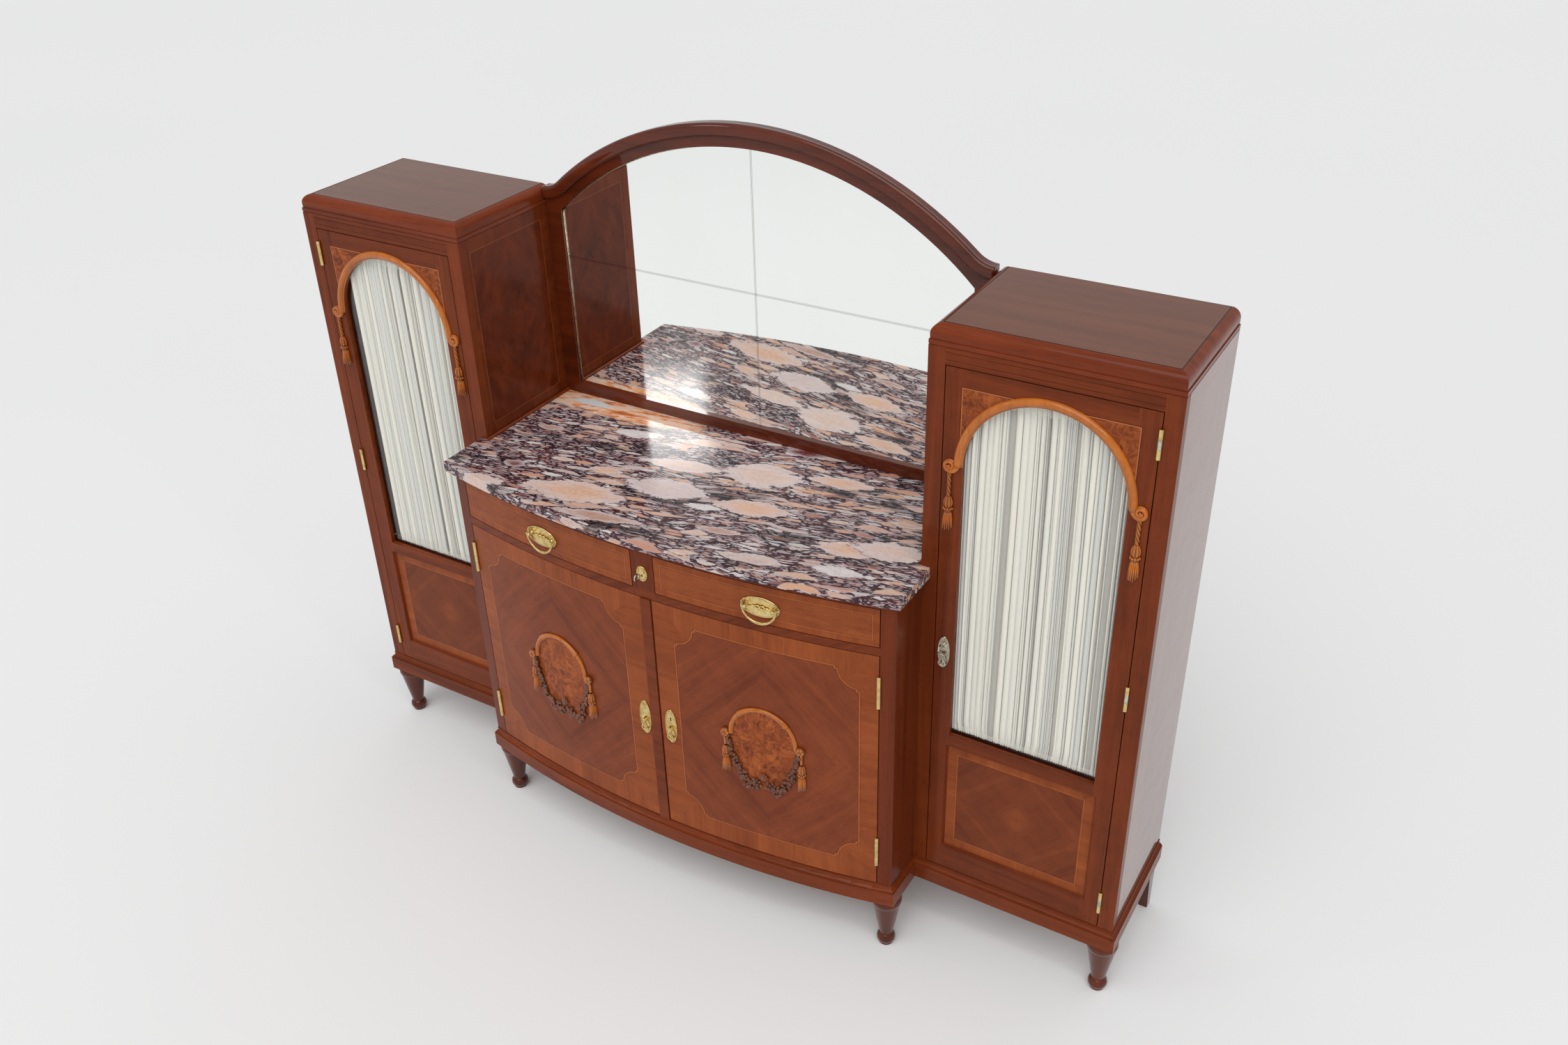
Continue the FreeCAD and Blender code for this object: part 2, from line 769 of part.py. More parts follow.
def tower_plinth():
    edge = plinth_edge()
    reach = 2 * tower_outer_x
    block = right_edge(edge, tower_outer_x).common(front_edge(edge, 0))
    block = block.common(box(tower_inner_x, reach, -tower_depth, tower_depth, foot_height, plinth_top_z))
    body = box(0, tower_outer_x, 0, tower_depth, carcass_bottom_z, tower_carcass_top_z)
    room = box(0, tower_outer_x - plinth_thickness, plinth_thickness, tower_depth, foot_height,
               carcass_bottom_z)
    return block.cut([body, room, centre_plinth_block()])


def plinth_blocks():
    x1 = tower_outer_x - plinth_thickness
    rear_y = tower_depth - back_rail_depth
    front = box(x1 - corner_block, x1, plinth_thickness, plinth_thickness + corner_block, foot_height,
                carcass_bottom_z)
    rear = box(x1 - corner_block, x1, rear_y - corner_block, rear_y, foot_height, carcass_bottom_z)
    inner_x = centre_half_width - plinth_thickness
    centre = box(inner_x - corner_block, inner_x, -centre_projection, centre_foot_y + corner_block / 2,
                 foot_height, carcass_bottom_z).common(centre_plinth_room())
    return both_sides([front, rear, centre])


def plinth():
    inner_x = tower_outer_x - plinth_thickness
    back_rail = box(-inner_x, inner_x, tower_depth - back_rail_depth, tower_depth, foot_height,
                    carcass_bottom_z)
    return [back_rail] + both_sides([tower_plinth()]) + plinth_blocks()


def turned_foot(x, y):
    steps = [(0, 0), (foot_pad_radius, 0), (foot_pad_radius, foot_pad_z),
             (foot_ring_radius, foot_ring_z, foot_ankle_radius, foot_ankle_z),
             (foot_under_shoulder_radius, foot_under_shoulder_z),
             (foot_shoulder_radius, foot_shoulder_z, foot_top_radius, foot_height), (0, foot_height)]
    face = outline_face(steps, lambda r, z: V(x + r, y, z))
    return face.revolve(V(x, y, 0), UP, 2 * half_turn)


def square_ring(x0, y0, x1, y1, z):
    points = [V(x0, y0, z), V(x1, y0, z), V(x1, y1, z), V(x0, y1, z), V(x0, y0, z)]
    return Part.makePolygon(points)


def square_leg(x_straight, direction):
    """Tapered leg whose outer and back faces are straight."""
    top = square_ring(x_straight, tower_depth, x_straight - direction * leg_top_width,
                      tower_depth - leg_top_width, foot_height)
    bottom = square_ring(x_straight, tower_depth, x_straight - direction * leg_bottom_width,
                         tower_depth - leg_bottom_width, 0)
    return Part.makeLoft([bottom, top], True, True)


# Mirror

def mirror_outline(side_x, outer_radius, shoulder_x, shoulder_z, middle_x, middle_z, bottom_z):
    crown_z = mirror_arc_centre_z + outer_radius
    arc_z = mirror_arc_centre_z + math.sqrt(outer_radius ** 2 - shoulder_x ** 2)
    return [(-side_x, bottom_z), (-side_x, shoulder_z), (-middle_x, middle_z, -shoulder_x, arc_z),
            (0, crown_z, shoulder_x, arc_z), (middle_x, middle_z, side_x, shoulder_z), (side_x, bottom_z)]


def arched_outline(side_x, radius, bottom_z):
    spring_z = mirror_arc_centre_z + math.sqrt(radius ** 2 - side_x ** 2)
    return [(-side_x, bottom_z), (-side_x, spring_z), (0, mirror_arc_centre_z + radius, side_x, spring_z),
            (side_x, bottom_z)]


def nose_layer(inset, y0, y1):
    outer = mirror_outline(mirror_outer_x, mirror_outer_radius - inset, mirror_shoulder_x,
                           mirror_shoulder_z - inset, mirror_reverse_middle_x,
                           mirror_reverse_middle_z - inset, centre_top_z)
    width = nose_width - inset
    shoulder_x = mirror_shoulder_x * (mirror_outer_radius - width) / mirror_outer_radius
    inner = mirror_outline(mirror_outer_x, mirror_outer_radius - width, shoulder_x,
                           mirror_shoulder_z - width, nose_reverse_middle_x,
                           mirror_reverse_middle_z - width * nose_reverse_middle_drop / nose_width,
                           centre_top_z)
    return front_prism(outer, y0, y1).cut(front_prism(inner, y0, y1))


def mirror_frame():
    foot_z = centre_top_z + marble_thickness
    outer = mirror_outline(mirror_outer_x, mirror_outer_radius, mirror_shoulder_x, mirror_shoulder_z,
                           mirror_reverse_middle_x, mirror_reverse_middle_z, foot_z)
    frame = front_prism(outer, mirror_front_y, tower_depth)
    opening = arched_outline(mirror_inner_x, mirror_inner_radius, foot_z + mirror_rail_height)
    frame = frame.cut(front_prism(opening, mirror_front_y, tower_depth))
    frame = frame.cut(mirror_rebate(mirror_front_y + tower_depth - back_panel_y - mirror_rebate_depth
                                    + back_panel_thickness, tower_depth))
    middle_y = mirror_front_y - nose_projection + nose_step_depth
    lower_nose = nose_layer(0, middle_y, mirror_front_y)
    upper_nose = nose_layer(nose_step_inset, mirror_front_y - nose_projection, middle_y)
    return frame.fuse([lower_nose, upper_nose]).removeSplitter()


def mirror_rebate(y0, y1):
    bottom_z = centre_top_z + marble_thickness + mirror_rail_height - mirror_rebate_width
    outline = arched_outline(mirror_inner_x + mirror_rebate_width, mirror_inner_radius + mirror_rebate_width,
                             bottom_z)
    return front_prism(outline, y0, y1)


mirror_glass_y = tower_depth - mirror_rebate_depth


def mirror_panes():
    sheet = mirror_rebate(mirror_glass_y, mirror_glass_y + mirror_glass_thickness)
    reach = mirror_outer_x
    low = (centre_top_z, mirror_joint_z - mirror_joint_half_gap)
    high = (mirror_joint_z + mirror_joint_half_gap, mirror_arc_centre_z + mirror_outer_radius)
    quarters = [box(mirror_joint_half_gap, reach, mirror_glass_y, tower_depth, z0, z1) for z0, z1 in (low, high)]
    return [sheet.common(quarter) for quarter in both_sides(quarters)]


def mirror_backboard():
    return mirror_rebate(mirror_glass_y + mirror_glass_thickness, tower_depth)


# Plates, keys and drops

def oval_plate(x, y, z, half_width, half_height, thickness):
    """Oval plate whose back lies at y and which stands forward by its thickness."""
    ellipse = Part.Ellipse(V(x, y, z + half_height), V(x + half_width, y, z), V(x, y, z))
    face = Part.Face(Part.Wire(ellipse.toShape()))
    return face.extrude(V(0, -thickness, 0))


def wide_oval_plate(x, y, z, half_width, half_height, thickness):
    ellipse = Part.Ellipse(V(x + half_width, y, z), V(x, y, z + half_height), V(x, y, z))
    face = Part.Face(Part.Wire(ellipse.toShape()))
    return face.extrude(V(0, -thickness, 0))


def keyhole_cutter(x, y, z, depth):
    y0 = y - plate_thickness - overrun
    length = depth + plate_thickness + 2 * overrun
    round_part = Part.makeCylinder(keyhole_radius, length, V(x, y0, z), BACK)
    slot = box(x - keyhole_slot_half, x + keyhole_slot_half, y0, y0 + length, z - keyhole_slot_drop, z)
    return round_part.fuse(slot)


def key(x, y_plate, z, bit_y):
    """Key along y: a ring bow seen edge-on, a collar, a shaft and a bit pointing down."""
    tip_y = y_plate - key_stick_out
    bow_y_centre = tip_y + key_bow_radius
    side = V(x - key_bow_thickness / 2, bow_y_centre, z)
    ring = Part.makeCylinder(key_bow_radius, key_bow_thickness, side, ACROSS)
    ring = ring.cut(Part.makeCylinder(key_bow_hole_radius, key_bow_thickness, side, ACROSS))
    shaft_y = tip_y + key_bow_radius + key_bow_hole_radius
    shaft_end = bit_y + key_bit_length
    shaft = Part.makeCylinder(key_shaft_radius, shaft_end - shaft_y, V(x, shaft_y, z), BACK)
    collar_y = tip_y + 2 * key_bow_radius
    collar = Part.makeCylinder(key_collar_radius, key_collar_length, V(x, collar_y, z), BACK)
    half = key_bit_thickness / 2
    bit = box(x - half, x + half, bit_y, shaft_end, z - key_bit_reach, z)
    return ring.fuse([shaft, collar, bit]).removeSplitter()


def drop_lugs(x, y_plate, z):
    """Two lugs and the pin between them that a drop swings on."""
    inner = drop_eye_half_length + drop_lug_gap
    outer = inner + drop_lug_thickness
    pivot_y = y_plate - drop_standoff
    lugs = []
    for side in (-1, 1):
        x0 = min(x + side * inner, x + side * outer)
        cap = Part.makeCylinder(drop_lug_half_height, drop_lug_thickness, V(x0, pivot_y, z), ACROSS)
        web = box(x0, x0 + drop_lug_thickness, pivot_y, y_plate, z - drop_lug_half_height, z + drop_lug_half_height)
        lugs.append(cap.fuse(web))
    pin = Part.makeCylinder(drop_pin_radius, 2 * outer, V(x - outer, pivot_y, z), ACROSS)
    return lugs[0].fuse([lugs[1], pin])


def drop_loop_outline(x, z, inset):
    """Teardrop outline hanging from the pivot height z."""
    half = drop_loop_half_width - inset
    centre_z = z - drop_loop_length + drop_loop_half_width
    top_z = z - 2 * inset
    return [(x, top_z), (x + half, centre_z), (x, centre_z - half, x - half, centre_z)]


def drop(x, y_plate, z):
    pivot_y = y_plate - drop_standoff
    y0 = pivot_y - drop_loop_thickness / 2
    y1 = pivot_y + drop_loop_thickness / 2
    loop = front_prism(drop_loop_outline(x, z, 0), y0, y1)
    loop = loop.cut(front_prism(drop_loop_outline(x, z, drop_loop_bar), y0, y1))
    eye_start = V(x - drop_eye_half_length, pivot_y, z)
    eye = Part.makeCylinder(drop_eye_radius, 2 * drop_eye_half_length, eye_start, ACROSS)
    bore = Part.makeCylinder(drop_pin_radius + hinge_running_clearance, 2 * drop_eye_half_length, eye_start,
                             ACROSS)
    wing = drop_eye_half_length
    keep = box(x - wing, x + wing, y0 - overrun, y1 + overrun, z - drop_eye_radius, z + drop_eye_radius)
    spread = box(x - drop_loop_half_width, x + drop_loop_half_width, y0, y1, z - drop_eye_radius,
                 z + drop_eye_radius).cut(keep)
    return loop.fuse(eye).cut([bore, spread]).removeSplitter()


# Tower doors, built for the right side

def door_opening(half_width):
    x = door_centre_x
    return [(x - half_width, glass_sill_z), (x - half_width, arch_spring_z),
            (x, arch_spring_z + half_width, x + half_width, arch_spring_z), (x + half_width, glass_sill_z)]


def glass_rebate():
    half = glass_half_width + glass_rebate_width
    return box(door_centre_x - half, door_centre_x + half, glass_rebate_y, front_thickness + overrun,
               glass_sill_z - glass_rebate_width, arch_spring_z + half)


def panel_groove():
    half = panel_half_width + panel_tongue
    return box(door_centre_x - half, door_centre_x + half, panel_front_y, panel_front_y + panel_thickness,
               panel_bottom_z - panel_tongue, panel_top_z + panel_tongue)


def rectangle_ring(half, z0, z1, y):
    x = door_centre_x
    points = [V(x - half, y, z0), V(x + half, y, z0), V(x + half, y, z1), V(x - half, y, z1), V(x - half, y, z0)]
    return Part.makePolygon(points)


def panel_bevel_cutter():
    front = rectangle_ring(panel_half_width + panel_bevel, panel_bottom_z - panel_bevel,
                           panel_top_z + panel_bevel, 0)
    rear = rectangle_ring(panel_half_width, panel_bottom_z, panel_top_z, panel_front_y)
    return Part.makeLoft([front, rear], True, True)


def tower_lock_pocket():
    x0 = door_centre_x - door_half_width
    return box(x0, x0 + lock_case_width, front_thickness - lock_case_depth, front_thickness,
               tower_key_z - lock_case_below_key, tower_key_z + lock_case_above_key)


def tower_door_solid():
    x0 = door_centre_x - door_half_width
    x1 = door_centre_x + door_half_width
    slab = box(x0, x1, 0, front_thickness, tower_door_bottom_z, tower_door_top_z)
    glazed = front_prism(door_opening(glass_half_width), 0, front_thickness)
    panel_way = box(door_centre_x - panel_half_width, door_centre_x + panel_half_width, 0, front_thickness,
                    panel_bottom_z, panel_top_z)
    cutters = [glazed, glass_rebate(), panel_way, panel_groove(), panel_bevel_cutter(), tower_lock_pocket(),
               keyhole_cutter(tower_plate_x, 0, tower_key_z, front_thickness)]
    return slab.cut(cutters + tower_reliefs())


def tower_door_frame():
    """Two stiles and three rails, parted where their joints run."""
    solid = tower_door_solid()
    x0 = door_centre_x - door_half_width
    x1 = door_centre_x + door_half_width
    inner_x0 = door_centre_x - glass_half_width
    inner_x1 = door_centre_x + glass_half_width
    regions = [(x0, inner_x0, 0, tower_top_z), (inner_x1, x1, 0, tower_top_z),
               (inner_x0, inner_x1, 0, rail_split_low_z), (inner_x0, inner_x1, rail_split_low_z, rail_split_high_z),
               (inner_x0, inner_x1, rail_split_high_z, tower_top_z)]
    return [solid.common(box(a, b, 0, front_thickness, z0, z1)) for a, b, z0, z1 in regions]


def tower_door_glass():
    half = glass_half_width + glass_rebate_width - glass_clearance
    return box(door_centre_x - half, door_centre_x + half, glass_rebate_y, glass_rebate_y + glass_thickness,
               glass_sill_z - glass_rebate_width, arch_spring_z + half)


def fold_arcs(x0, x1, y):
    """Arc steps of the folds from x0 to x1, bulging forward and back in turn."""
    total = sum(fold_shares) * 2
    steps = []
    x = x0
    for share in fold_shares:
        for way in (-1, 1):
            width = (x1 - x0) * share / total
            sag = way * abs(width) * fold_sag_share
            steps.append((x + width / 2, y + sag, x + width, y))
            x += width
    return steps


def curtain(bare_outer):
    x0 = door_centre_x - curtain_half_width
    x1 = door_centre_x + curtain_half_width - bare_outer
    y_front = curtain_centre_y - curtain_thickness / 2
    front = fold_arcs(x0, x1, y_front)
    back = [(mx, my + curtain_thickness, ex, ey + curtain_thickness) for mx, my, ex, ey in front]
    back_return = []
    for index in range(len(back) - 1, -1, -1):
        mx, my, ex, ey = back[index]
        start_x = back[index - 1][2] if index else x0
        back_return.append((mx, my, start_x, ey))
    steps = [(x0, y_front)] + front + [(x1, y_front + curtain_thickness)] + back_return
    return plan_prism(steps, curtain_hem_z, curtain_head_z)


def curtain_rod(z):
    x0 = door_centre_x - rod_half_length
    rod = Part.makeCylinder(rod_radius, 2 * rod_half_length, V(x0, rod_y, z), ACROSS)
    brackets = []
    for x in (x0, door_centre_x + rod_half_length - rod_bracket_width):
        brackets.append(box(x, x + rod_bracket_width, front_thickness, rod_y + rod_bracket_back,
                            z - rod_bracket_half_height, z + rod_bracket_half_height))
    return rod.fuse(brackets).removeSplitter()


def tassel_solid(x, y, top_z, bell_top_z, tip_z, cord, bell):
    """Cord, bell, bead ring and flared skirt turned about one upright line."""
    scale = bell / tassel_bell_radius
    fall = (bell_top_z - tip_z) / (tassel_bell_top_z - tassel_tip_z)

    def level(z):
        return bell_top_z - (tassel_bell_top_z - z) * fall

    bell_bottom = level(tassel_bell_bottom_z)
    steps = [(0, top_z), (cord, top_z), (cord, bell_top_z),
             (bell, (bell_top_z + bell_bottom) / 2, bell, bell_bottom),
             (tassel_bead_radius * scale, level(tassel_bead_z), tassel_neck_radius * scale, level(tassel_neck_z)),
             (tassel_skirt_radius * scale, tip_z), (0, tip_z)]
    face = outline_face(steps, lambda r, z: V(x + r, y, z))
    return face.revolve(V(x, y, 0), UP, 2 * half_turn)


def rope_half_ring(x, z, ring_radius, bar_radius):
    """Half-round bar bent up and over, its flat back on y = 0."""
    steps = [(x + ring_radius - bar_radius, 0), (x + ring_radius, -bar_radius, x + ring_radius + bar_radius, 0)]
    face = outline_face(steps, lambda a, b: V(a, b, z))
    return face.revolve(V(x, 0, z), V(0, -1, 0), half_turn)


def rope_arch():
    x = door_centre_x
    rope = rope_half_ring(x, arch_spring_z, rope_arch_radius, rope_radius)
    pieces = []
    for side in (-1, 1):
        centre = V(x + side * scroll_offset, 0, arch_spring_z)
        disc = Part.makeCylinder(scroll_radius, scroll_thickness, centre, V(0, -1, 0))
        eye = Part.makeCylinder(scroll_eye_radius, scroll_thickness + scroll_eye_height, centre, V(0, -1, 0))
        tassel = tassel_solid(centre.x, tassel_axis_y, arch_spring_z, tassel_bell_top_z, tassel_tip_z,
                              cord_radius, tassel_bell_radius)
        front = box(centre.x - 2 * scroll_radius, centre.x + 2 * scroll_radius, -tower_depth, 0, 0, tower_top_z)
        pieces += [disc, eye, tassel.common(front)]
    return rope.fuse(pieces).removeSplitter()


def tower_plate():
    plate = oval_plate(tower_plate_x, 0, tower_plate_z, tower_plate_half_width, tower_plate_half_height,
                       plate_thickness)
    pivot_z = tower_plate_z - drop_pivot_share * tower_plate_half_height
    plate = plate.fuse(drop_lugs(tower_plate_x, -plate_thickness, pivot_z))
    return plate.cut(keyhole_cutter(tower_plate_x, 0, tower_key_z, front_thickness))


def hollow_case(x0, x1, y0, y1, z0, z1):
    wall = lock_case_wall
    shell = box(x0, x1, y0, y1, z0, z1)
    return shell.cut(box(x0 + wall, x1 - wall, y0 + wall, y1 - wall, z0 + wall, z1 - wall))


def tower_lock_case():
    x0 = door_centre_x - door_half_width
    case = hollow_case(x0, x0 + lock_case_width, front_thickness - lock_case_depth, front_thickness,
                       tower_key_z - lock_case_below_key, tower_key_z + lock_case_above_key)
    half_y = bolt_thickness / 2 + bolt_clearance
    half_z = bolt_half_height + bolt_clearance
    slot = box(x0, x0 + 2 * lock_case_wall, tower_bolt_y - half_y, tower_bolt_y + half_y,
               tower_bolt_z - half_z, tower_bolt_z + half_z)
    front_hole = keyhole_cutter(tower_plate_x, 0, tower_key_z, 0)
    front_hole = front_hole.fuse(front_hole.translated(V(0, 2 * overrun, 0)))
    return case.cut([slot, front_hole.common(tower_case_front())])


def tower_case_front():
    y1 = front_thickness - lock_case_wall - overrun
    return box(0, tower_outer_x, -tower_depth, y1, 0, tower_top_z)


def tower_bolt():
    return box(tower_bolt_x, tower_bolt_x + bolt_length, tower_bolt_y - bolt_thickness / 2,
               tower_bolt_y + bolt_thickness / 2, tower_bolt_z - bolt_half_height,
               tower_bolt_z + bolt_half_height)


def tower_key():
    bit_y = front_thickness - lock_case_depth / 2 - key_bit_length / 2
    return key(tower_plate_x, -plate_thickness, tower_key_z, bit_y)


def tower_fittings():
    leaves = [moving_leaf(tower_pin_x, tower_pin_y, z, tower_hinge_length) for z in tower_hinge_heights]
    return [tower_plate(), tower_lock_case()] + leaves


def tower_drop():
    pivot_z = tower_plate_z - drop_pivot_share * tower_plate_half_height
    return drop(tower_plate_x, -plate_thickness, pivot_z)


def tower_door_panel():
    return panel_groove()


# Centre doors

def centre_door(free_x):
    """Right-hand bowed door from its free edge to the hinge gap."""
    slab = bow_slab(free_x, centre_pin_x - door_gap / 2, body_radius, body_radius - centre_door_thickness,
                    centre_door_bottom_z, centre_door_top_z)
    return slab.cut(centre_reliefs())


def centre_key_z():
    return centre_plate_z + keyhole_rise_share * centre_plate_half_height


def centre_door_lock_pocket():
    y1 = bow_y(right_door_free_x, body_radius - centre_door_thickness)
    return box(right_door_free_x, right_door_free_x + lock_case_width, y1 - lock_case_depth, y1 + overrun,
               centre_key_z() - lock_case_below_key, centre_key_z() + lock_case_above_key)


def right_centre_door():
    keyhole = keyhole_cutter(right_centre_plate_x, -centre_projection, centre_key_z(), centre_door_thickness)
    return centre_door(right_door_free_x).cut([centre_door_lock_pocket(), keyhole])


def left_centre_door():
    return mirrored(centre_door(-left_door_free_x))


def astragal():
    return bow_slab(left_door_free_x - astragal_width, left_door_free_x, body_radius + astragal_thickness,
                    body_radius, centre_door_bottom_z - astragal_drop, centre_door_top_z)


def on_bow(shape, x):
    """Turns a piece built on the crest plane round the bow to x."""
    angle = math.degrees(math.asin(x / body_radius))
    return shape.rotated(V(0, bow_centre_y, 0), UP, angle)


def seated_on_bow(shape, x):
    """The same, with the back of the piece hollowed to sit on the bow."""
    return on_bow(shape, x).cut(bow_cylinder(body_radius, 0, tower_top_z))


def centre_plate(x, with_keyhole):
    plate = oval_plate(0, -centre_projection + relief_base, centre_plate_z, centre_plate_half_width,
                       centre_plate_half_height, plate_thickness + relief_base)
    pivot_z = centre_plate_z - drop_pivot_share * centre_plate_half_height
    plate = plate.fuse(drop_lugs(0, -centre_projection - plate_thickness, pivot_z))
    if with_keyhole:
        plate = plate.cut(keyhole_cutter(0, -centre_projection, centre_key_z(), centre_door_thickness))
    return seated_on_bow(plate, x)


def centre_drop(x):
    pivot_z = centre_plate_z - drop_pivot_share * centre_plate_half_height
    return on_bow(drop(0, -centre_projection - plate_thickness, pivot_z), x)


def centre_door_leaves():
    return [moving_leaf(centre_pin_x, centre_pin_y, z, centre_hinge_length) for z in centre_hinge_heights]


def centre_door_lock_case():
    pocket = centre_door_lock_pocket()
    door = bow_slab(0, post_inner_x, body_radius, body_radius - centre_door_thickness, 0, tower_top_z)
    return pocket.common(door).cut(keyhole_cutter(right_centre_plate_x, -centre_projection, centre_key_z(),
                                                  centre_door_thickness))


def relief_button(x, y, z, radius):
    """Low blossom standing forward from y, narrower at its top."""
    height = radius * blossom_height_share + relief_base
    return Part.makeCone(radius, radius * blossom_top_share, height, V(x, y, z), V(0, -1, 0))


def swag(side):
    """Ribbon under the blossoms: falls from a knob to a low point, then rises to the middle."""
    low_x = side * swag_low_x
    steps = [(side * wreath_radius, wreath_spring_z), (side * swag_fall_x, swag_fall_z, low_x, swag_low_z),
             (side * swag_rise_x, swag_rise_z, 0, swag_centre_z), (0, swag_centre_z + swag_width),
             (side * swag_rise_x, swag_rise_z + swag_width, low_x, swag_low_z + swag_width),
             (side * (swag_fall_x - swag_width), swag_fall_z, side * (wreath_radius - swag_width), wreath_spring_z)]
    return front_prism(steps, -centre_projection - swag_height, -centre_projection + relief_base)


def wreath_on_crest():
    """Rope half-ring with knobs, two tassels and a double swag of blossoms, carved in relief."""
    y_back = -centre_projection + relief_base
    rope = rope_half_ring(0, wreath_spring_z, wreath_radius, wreath_rope_radius)
    rope = rope.translated(V(0, -centre_projection, 0))
    steps = [(wreath_radius - wreath_rope_radius, 0), (wreath_radius + wreath_rope_radius, 0),
             (wreath_radius + wreath_rope_radius, relief_base), (wreath_radius - wreath_rope_radius, relief_base)]
    face = outline_face(steps, lambda a, b: V(a, b - centre_projection, wreath_spring_z))
    base = face.revolve(V(0, -centre_projection, wreath_spring_z), V(0, -1, 0), half_turn)
    pieces = [base]
    for side in (-1, 1):
        x = side * wreath_radius
        pieces.append(relief_button(x, y_back, wreath_spring_z, wreath_knob_radius))
        pieces.append(tassel_solid(x, -centre_projection, wreath_tassel_top_z, wreath_tassel_bell_z,
                                   wreath_tassel_tip_z, wreath_cord_radius, wreath_tassel_radius))
        pieces.append(swag(side))
        for (blossom_x, drop_length), radius in zip(blossom_drops, blossom_radii):
            if side < 0 or blossom_x > 0:
                blossom_z = wreath_spring_z - drop_length
                pieces.append(relief_button(side * blossom_x, y_back, blossom_z, radius))
    carved = rope.fuse(pieces)
    reach = 2 * wreath_radius
    return carved.common(box(-reach, reach, -tower_depth, y_back, 0, tower_top_z))


def wreath():
    return seated_on_bow(wreath_on_crest(), wreath_x)


# Centre lock with its key and bolts

def escutcheon():
    plate = oval_plate(0, -centre_projection + relief_base, escutcheon_z, escutcheon_half_width,
                       escutcheon_half_height, plate_thickness + relief_base)
    plate = plate.cut(bow_cylinder(body_radius, 0, tower_top_z))
    return plate.cut(keyhole_cutter(0, -centre_projection, escutcheon_z, centre_door_thickness))


def centre_lock_case():
    y0 = -centre_projection + centre_case_cover
    case = hollow_case(-centre_case_half_width, centre_case_half_width, y0, y0 + centre_case_depth,
                       escutcheon_z - centre_case_half_height, escutcheon_z + centre_case_half_height)
    half_y = bolt_thickness / 2 + bolt_clearance
    half_z = centre_bolt_half_height + bolt_clearance
    slot = box(-centre_case_half_width, centre_case_half_width, centre_bolt_y() - half_y,
               centre_bolt_y() + half_y, escutcheon_z - half_z, escutcheon_z + half_z)
    front = keyhole_cutter(0, y0, escutcheon_z, 0)
    return case.cut([slot, front])


def centre_bolt():
    return box(centre_bolt_inner_x, lock_block_half - bolt_set_back, centre_bolt_y() - bolt_thickness / 2,
               centre_bolt_y() + bolt_thickness / 2, escutcheon_z - centre_bolt_half_height,
               escutcheon_z + centre_bolt_half_height)


def centre_key():
    bit_y = centre_bolt_y() - key_bit_length / 2
    return key(0, -centre_projection - plate_thickness, escutcheon_z, bit_y)


# Drawers, built for the right side

def drawer_front():
    front = bow_slab(drawer_inner_x, centre_pin_x - door_gap / 2, body_radius,
                     body_radius - centre_door_thickness, drawer_front_bottom_z, drawer_front_top_z)
    return front.cut(bolt_mortise(drawer_inner_x, 1, centre_bolt_y(), escutcheon_z, centre_bolt_half_height))


def drawer_box():
    inside = bow_cylinder(body_radius - centre_door_thickness, drawer_rail_top_z, centre_top_z)
    x0 = drawer_box_inner_x
    x1 = drawer_box_outer_x
    wall = drawer_side_thickness
    y0 = -centre_projection
    y1 = drawer_back_y - wall
    sides = [box(x0, x0 + wall, y0, drawer_back_y, drawer_rail_top_z, drawer_box_top_z),
             box(x1 - wall, x1, y0, drawer_back_y, drawer_rail_top_z, drawer_box_top_z)]
    bottom = box(x0 + wall, x1 - wall, y0, y1, drawer_bottom_z, drawer_bottom_z + drawer_bottom_thickness)
    back = box(x0 + wall, x1 - wall, y1, drawer_back_y, drawer_rail_top_z, drawer_box_top_z)
    return [piece.common(inside) for piece in sides + [bottom, back]]


def pull_post(x):
    y0 = -centre_projection - plate_thickness
    post = Part.makeCylinder(pull_post_radius, pull_post_length, V(x, y0, pull_z), V(0, -1, 0))
    bore_start = V(x - pull_post_radius, y0 - pull_pivot_standoff, pull_z)
    bore = Part.makeCylinder(pull_pin_radius + hinge_running_clearance, 2 * pull_post_radius, bore_start, ACROSS)
    return post.cut(bore)


def pull_plate():
    plate = wide_oval_plate(0, -centre_projection + relief_base, pull_z, pull_half_width, pull_half_height,
                            plate_thickness + relief_base)
    pieces = [pull_post(-pull_post_x), pull_post(pull_post_x)]
    for offset, radius in zip(pull_ornament_offsets, pull_ornament_radii):
        for side in (-1, 1):
            if side < 0 or offset > 0:
                pieces.append(relief_button(side * offset, -centre_projection, pull_z, radius))
    return seated_on_bow(plate.fuse(pieces), pull_x)


def bail_on_crest():
    y = -centre_projection - plate_thickness - pull_pivot_standoff
    radius = (bail_end_x ** 2 + bail_drop ** 2) / (2 * bail_drop)
    centre_z = pull_z - bail_drop + radius
    start = V(-bail_end_x, y, pull_z)
    tangent = V(centre_z - pull_z, 0, -bail_end_x)
    section = Part.Face(Part.Wire(Part.makeCircle(bail_bar_radius, start, tangent)))
    sweep = math.degrees(math.atan2(bail_end_x, centre_z - pull_z))
    loop = section.revolve(V(0, y, centre_z), V(0, -1, 0), 2 * sweep)
    pieces = []
    for side in (-1, 1):
        end = V(side * bail_end_x, y, pull_z)
        pieces.append(Part.makeSphere(bail_bar_radius, end))
        pieces.append(Part.makeCylinder(pull_pin_radius, pull_pin_length, end, V(-side, 0, 0)))
    return loop.fuse(pieces).removeSplitter()


def bail():
    return on_bow(bail_on_crest(), pull_x)


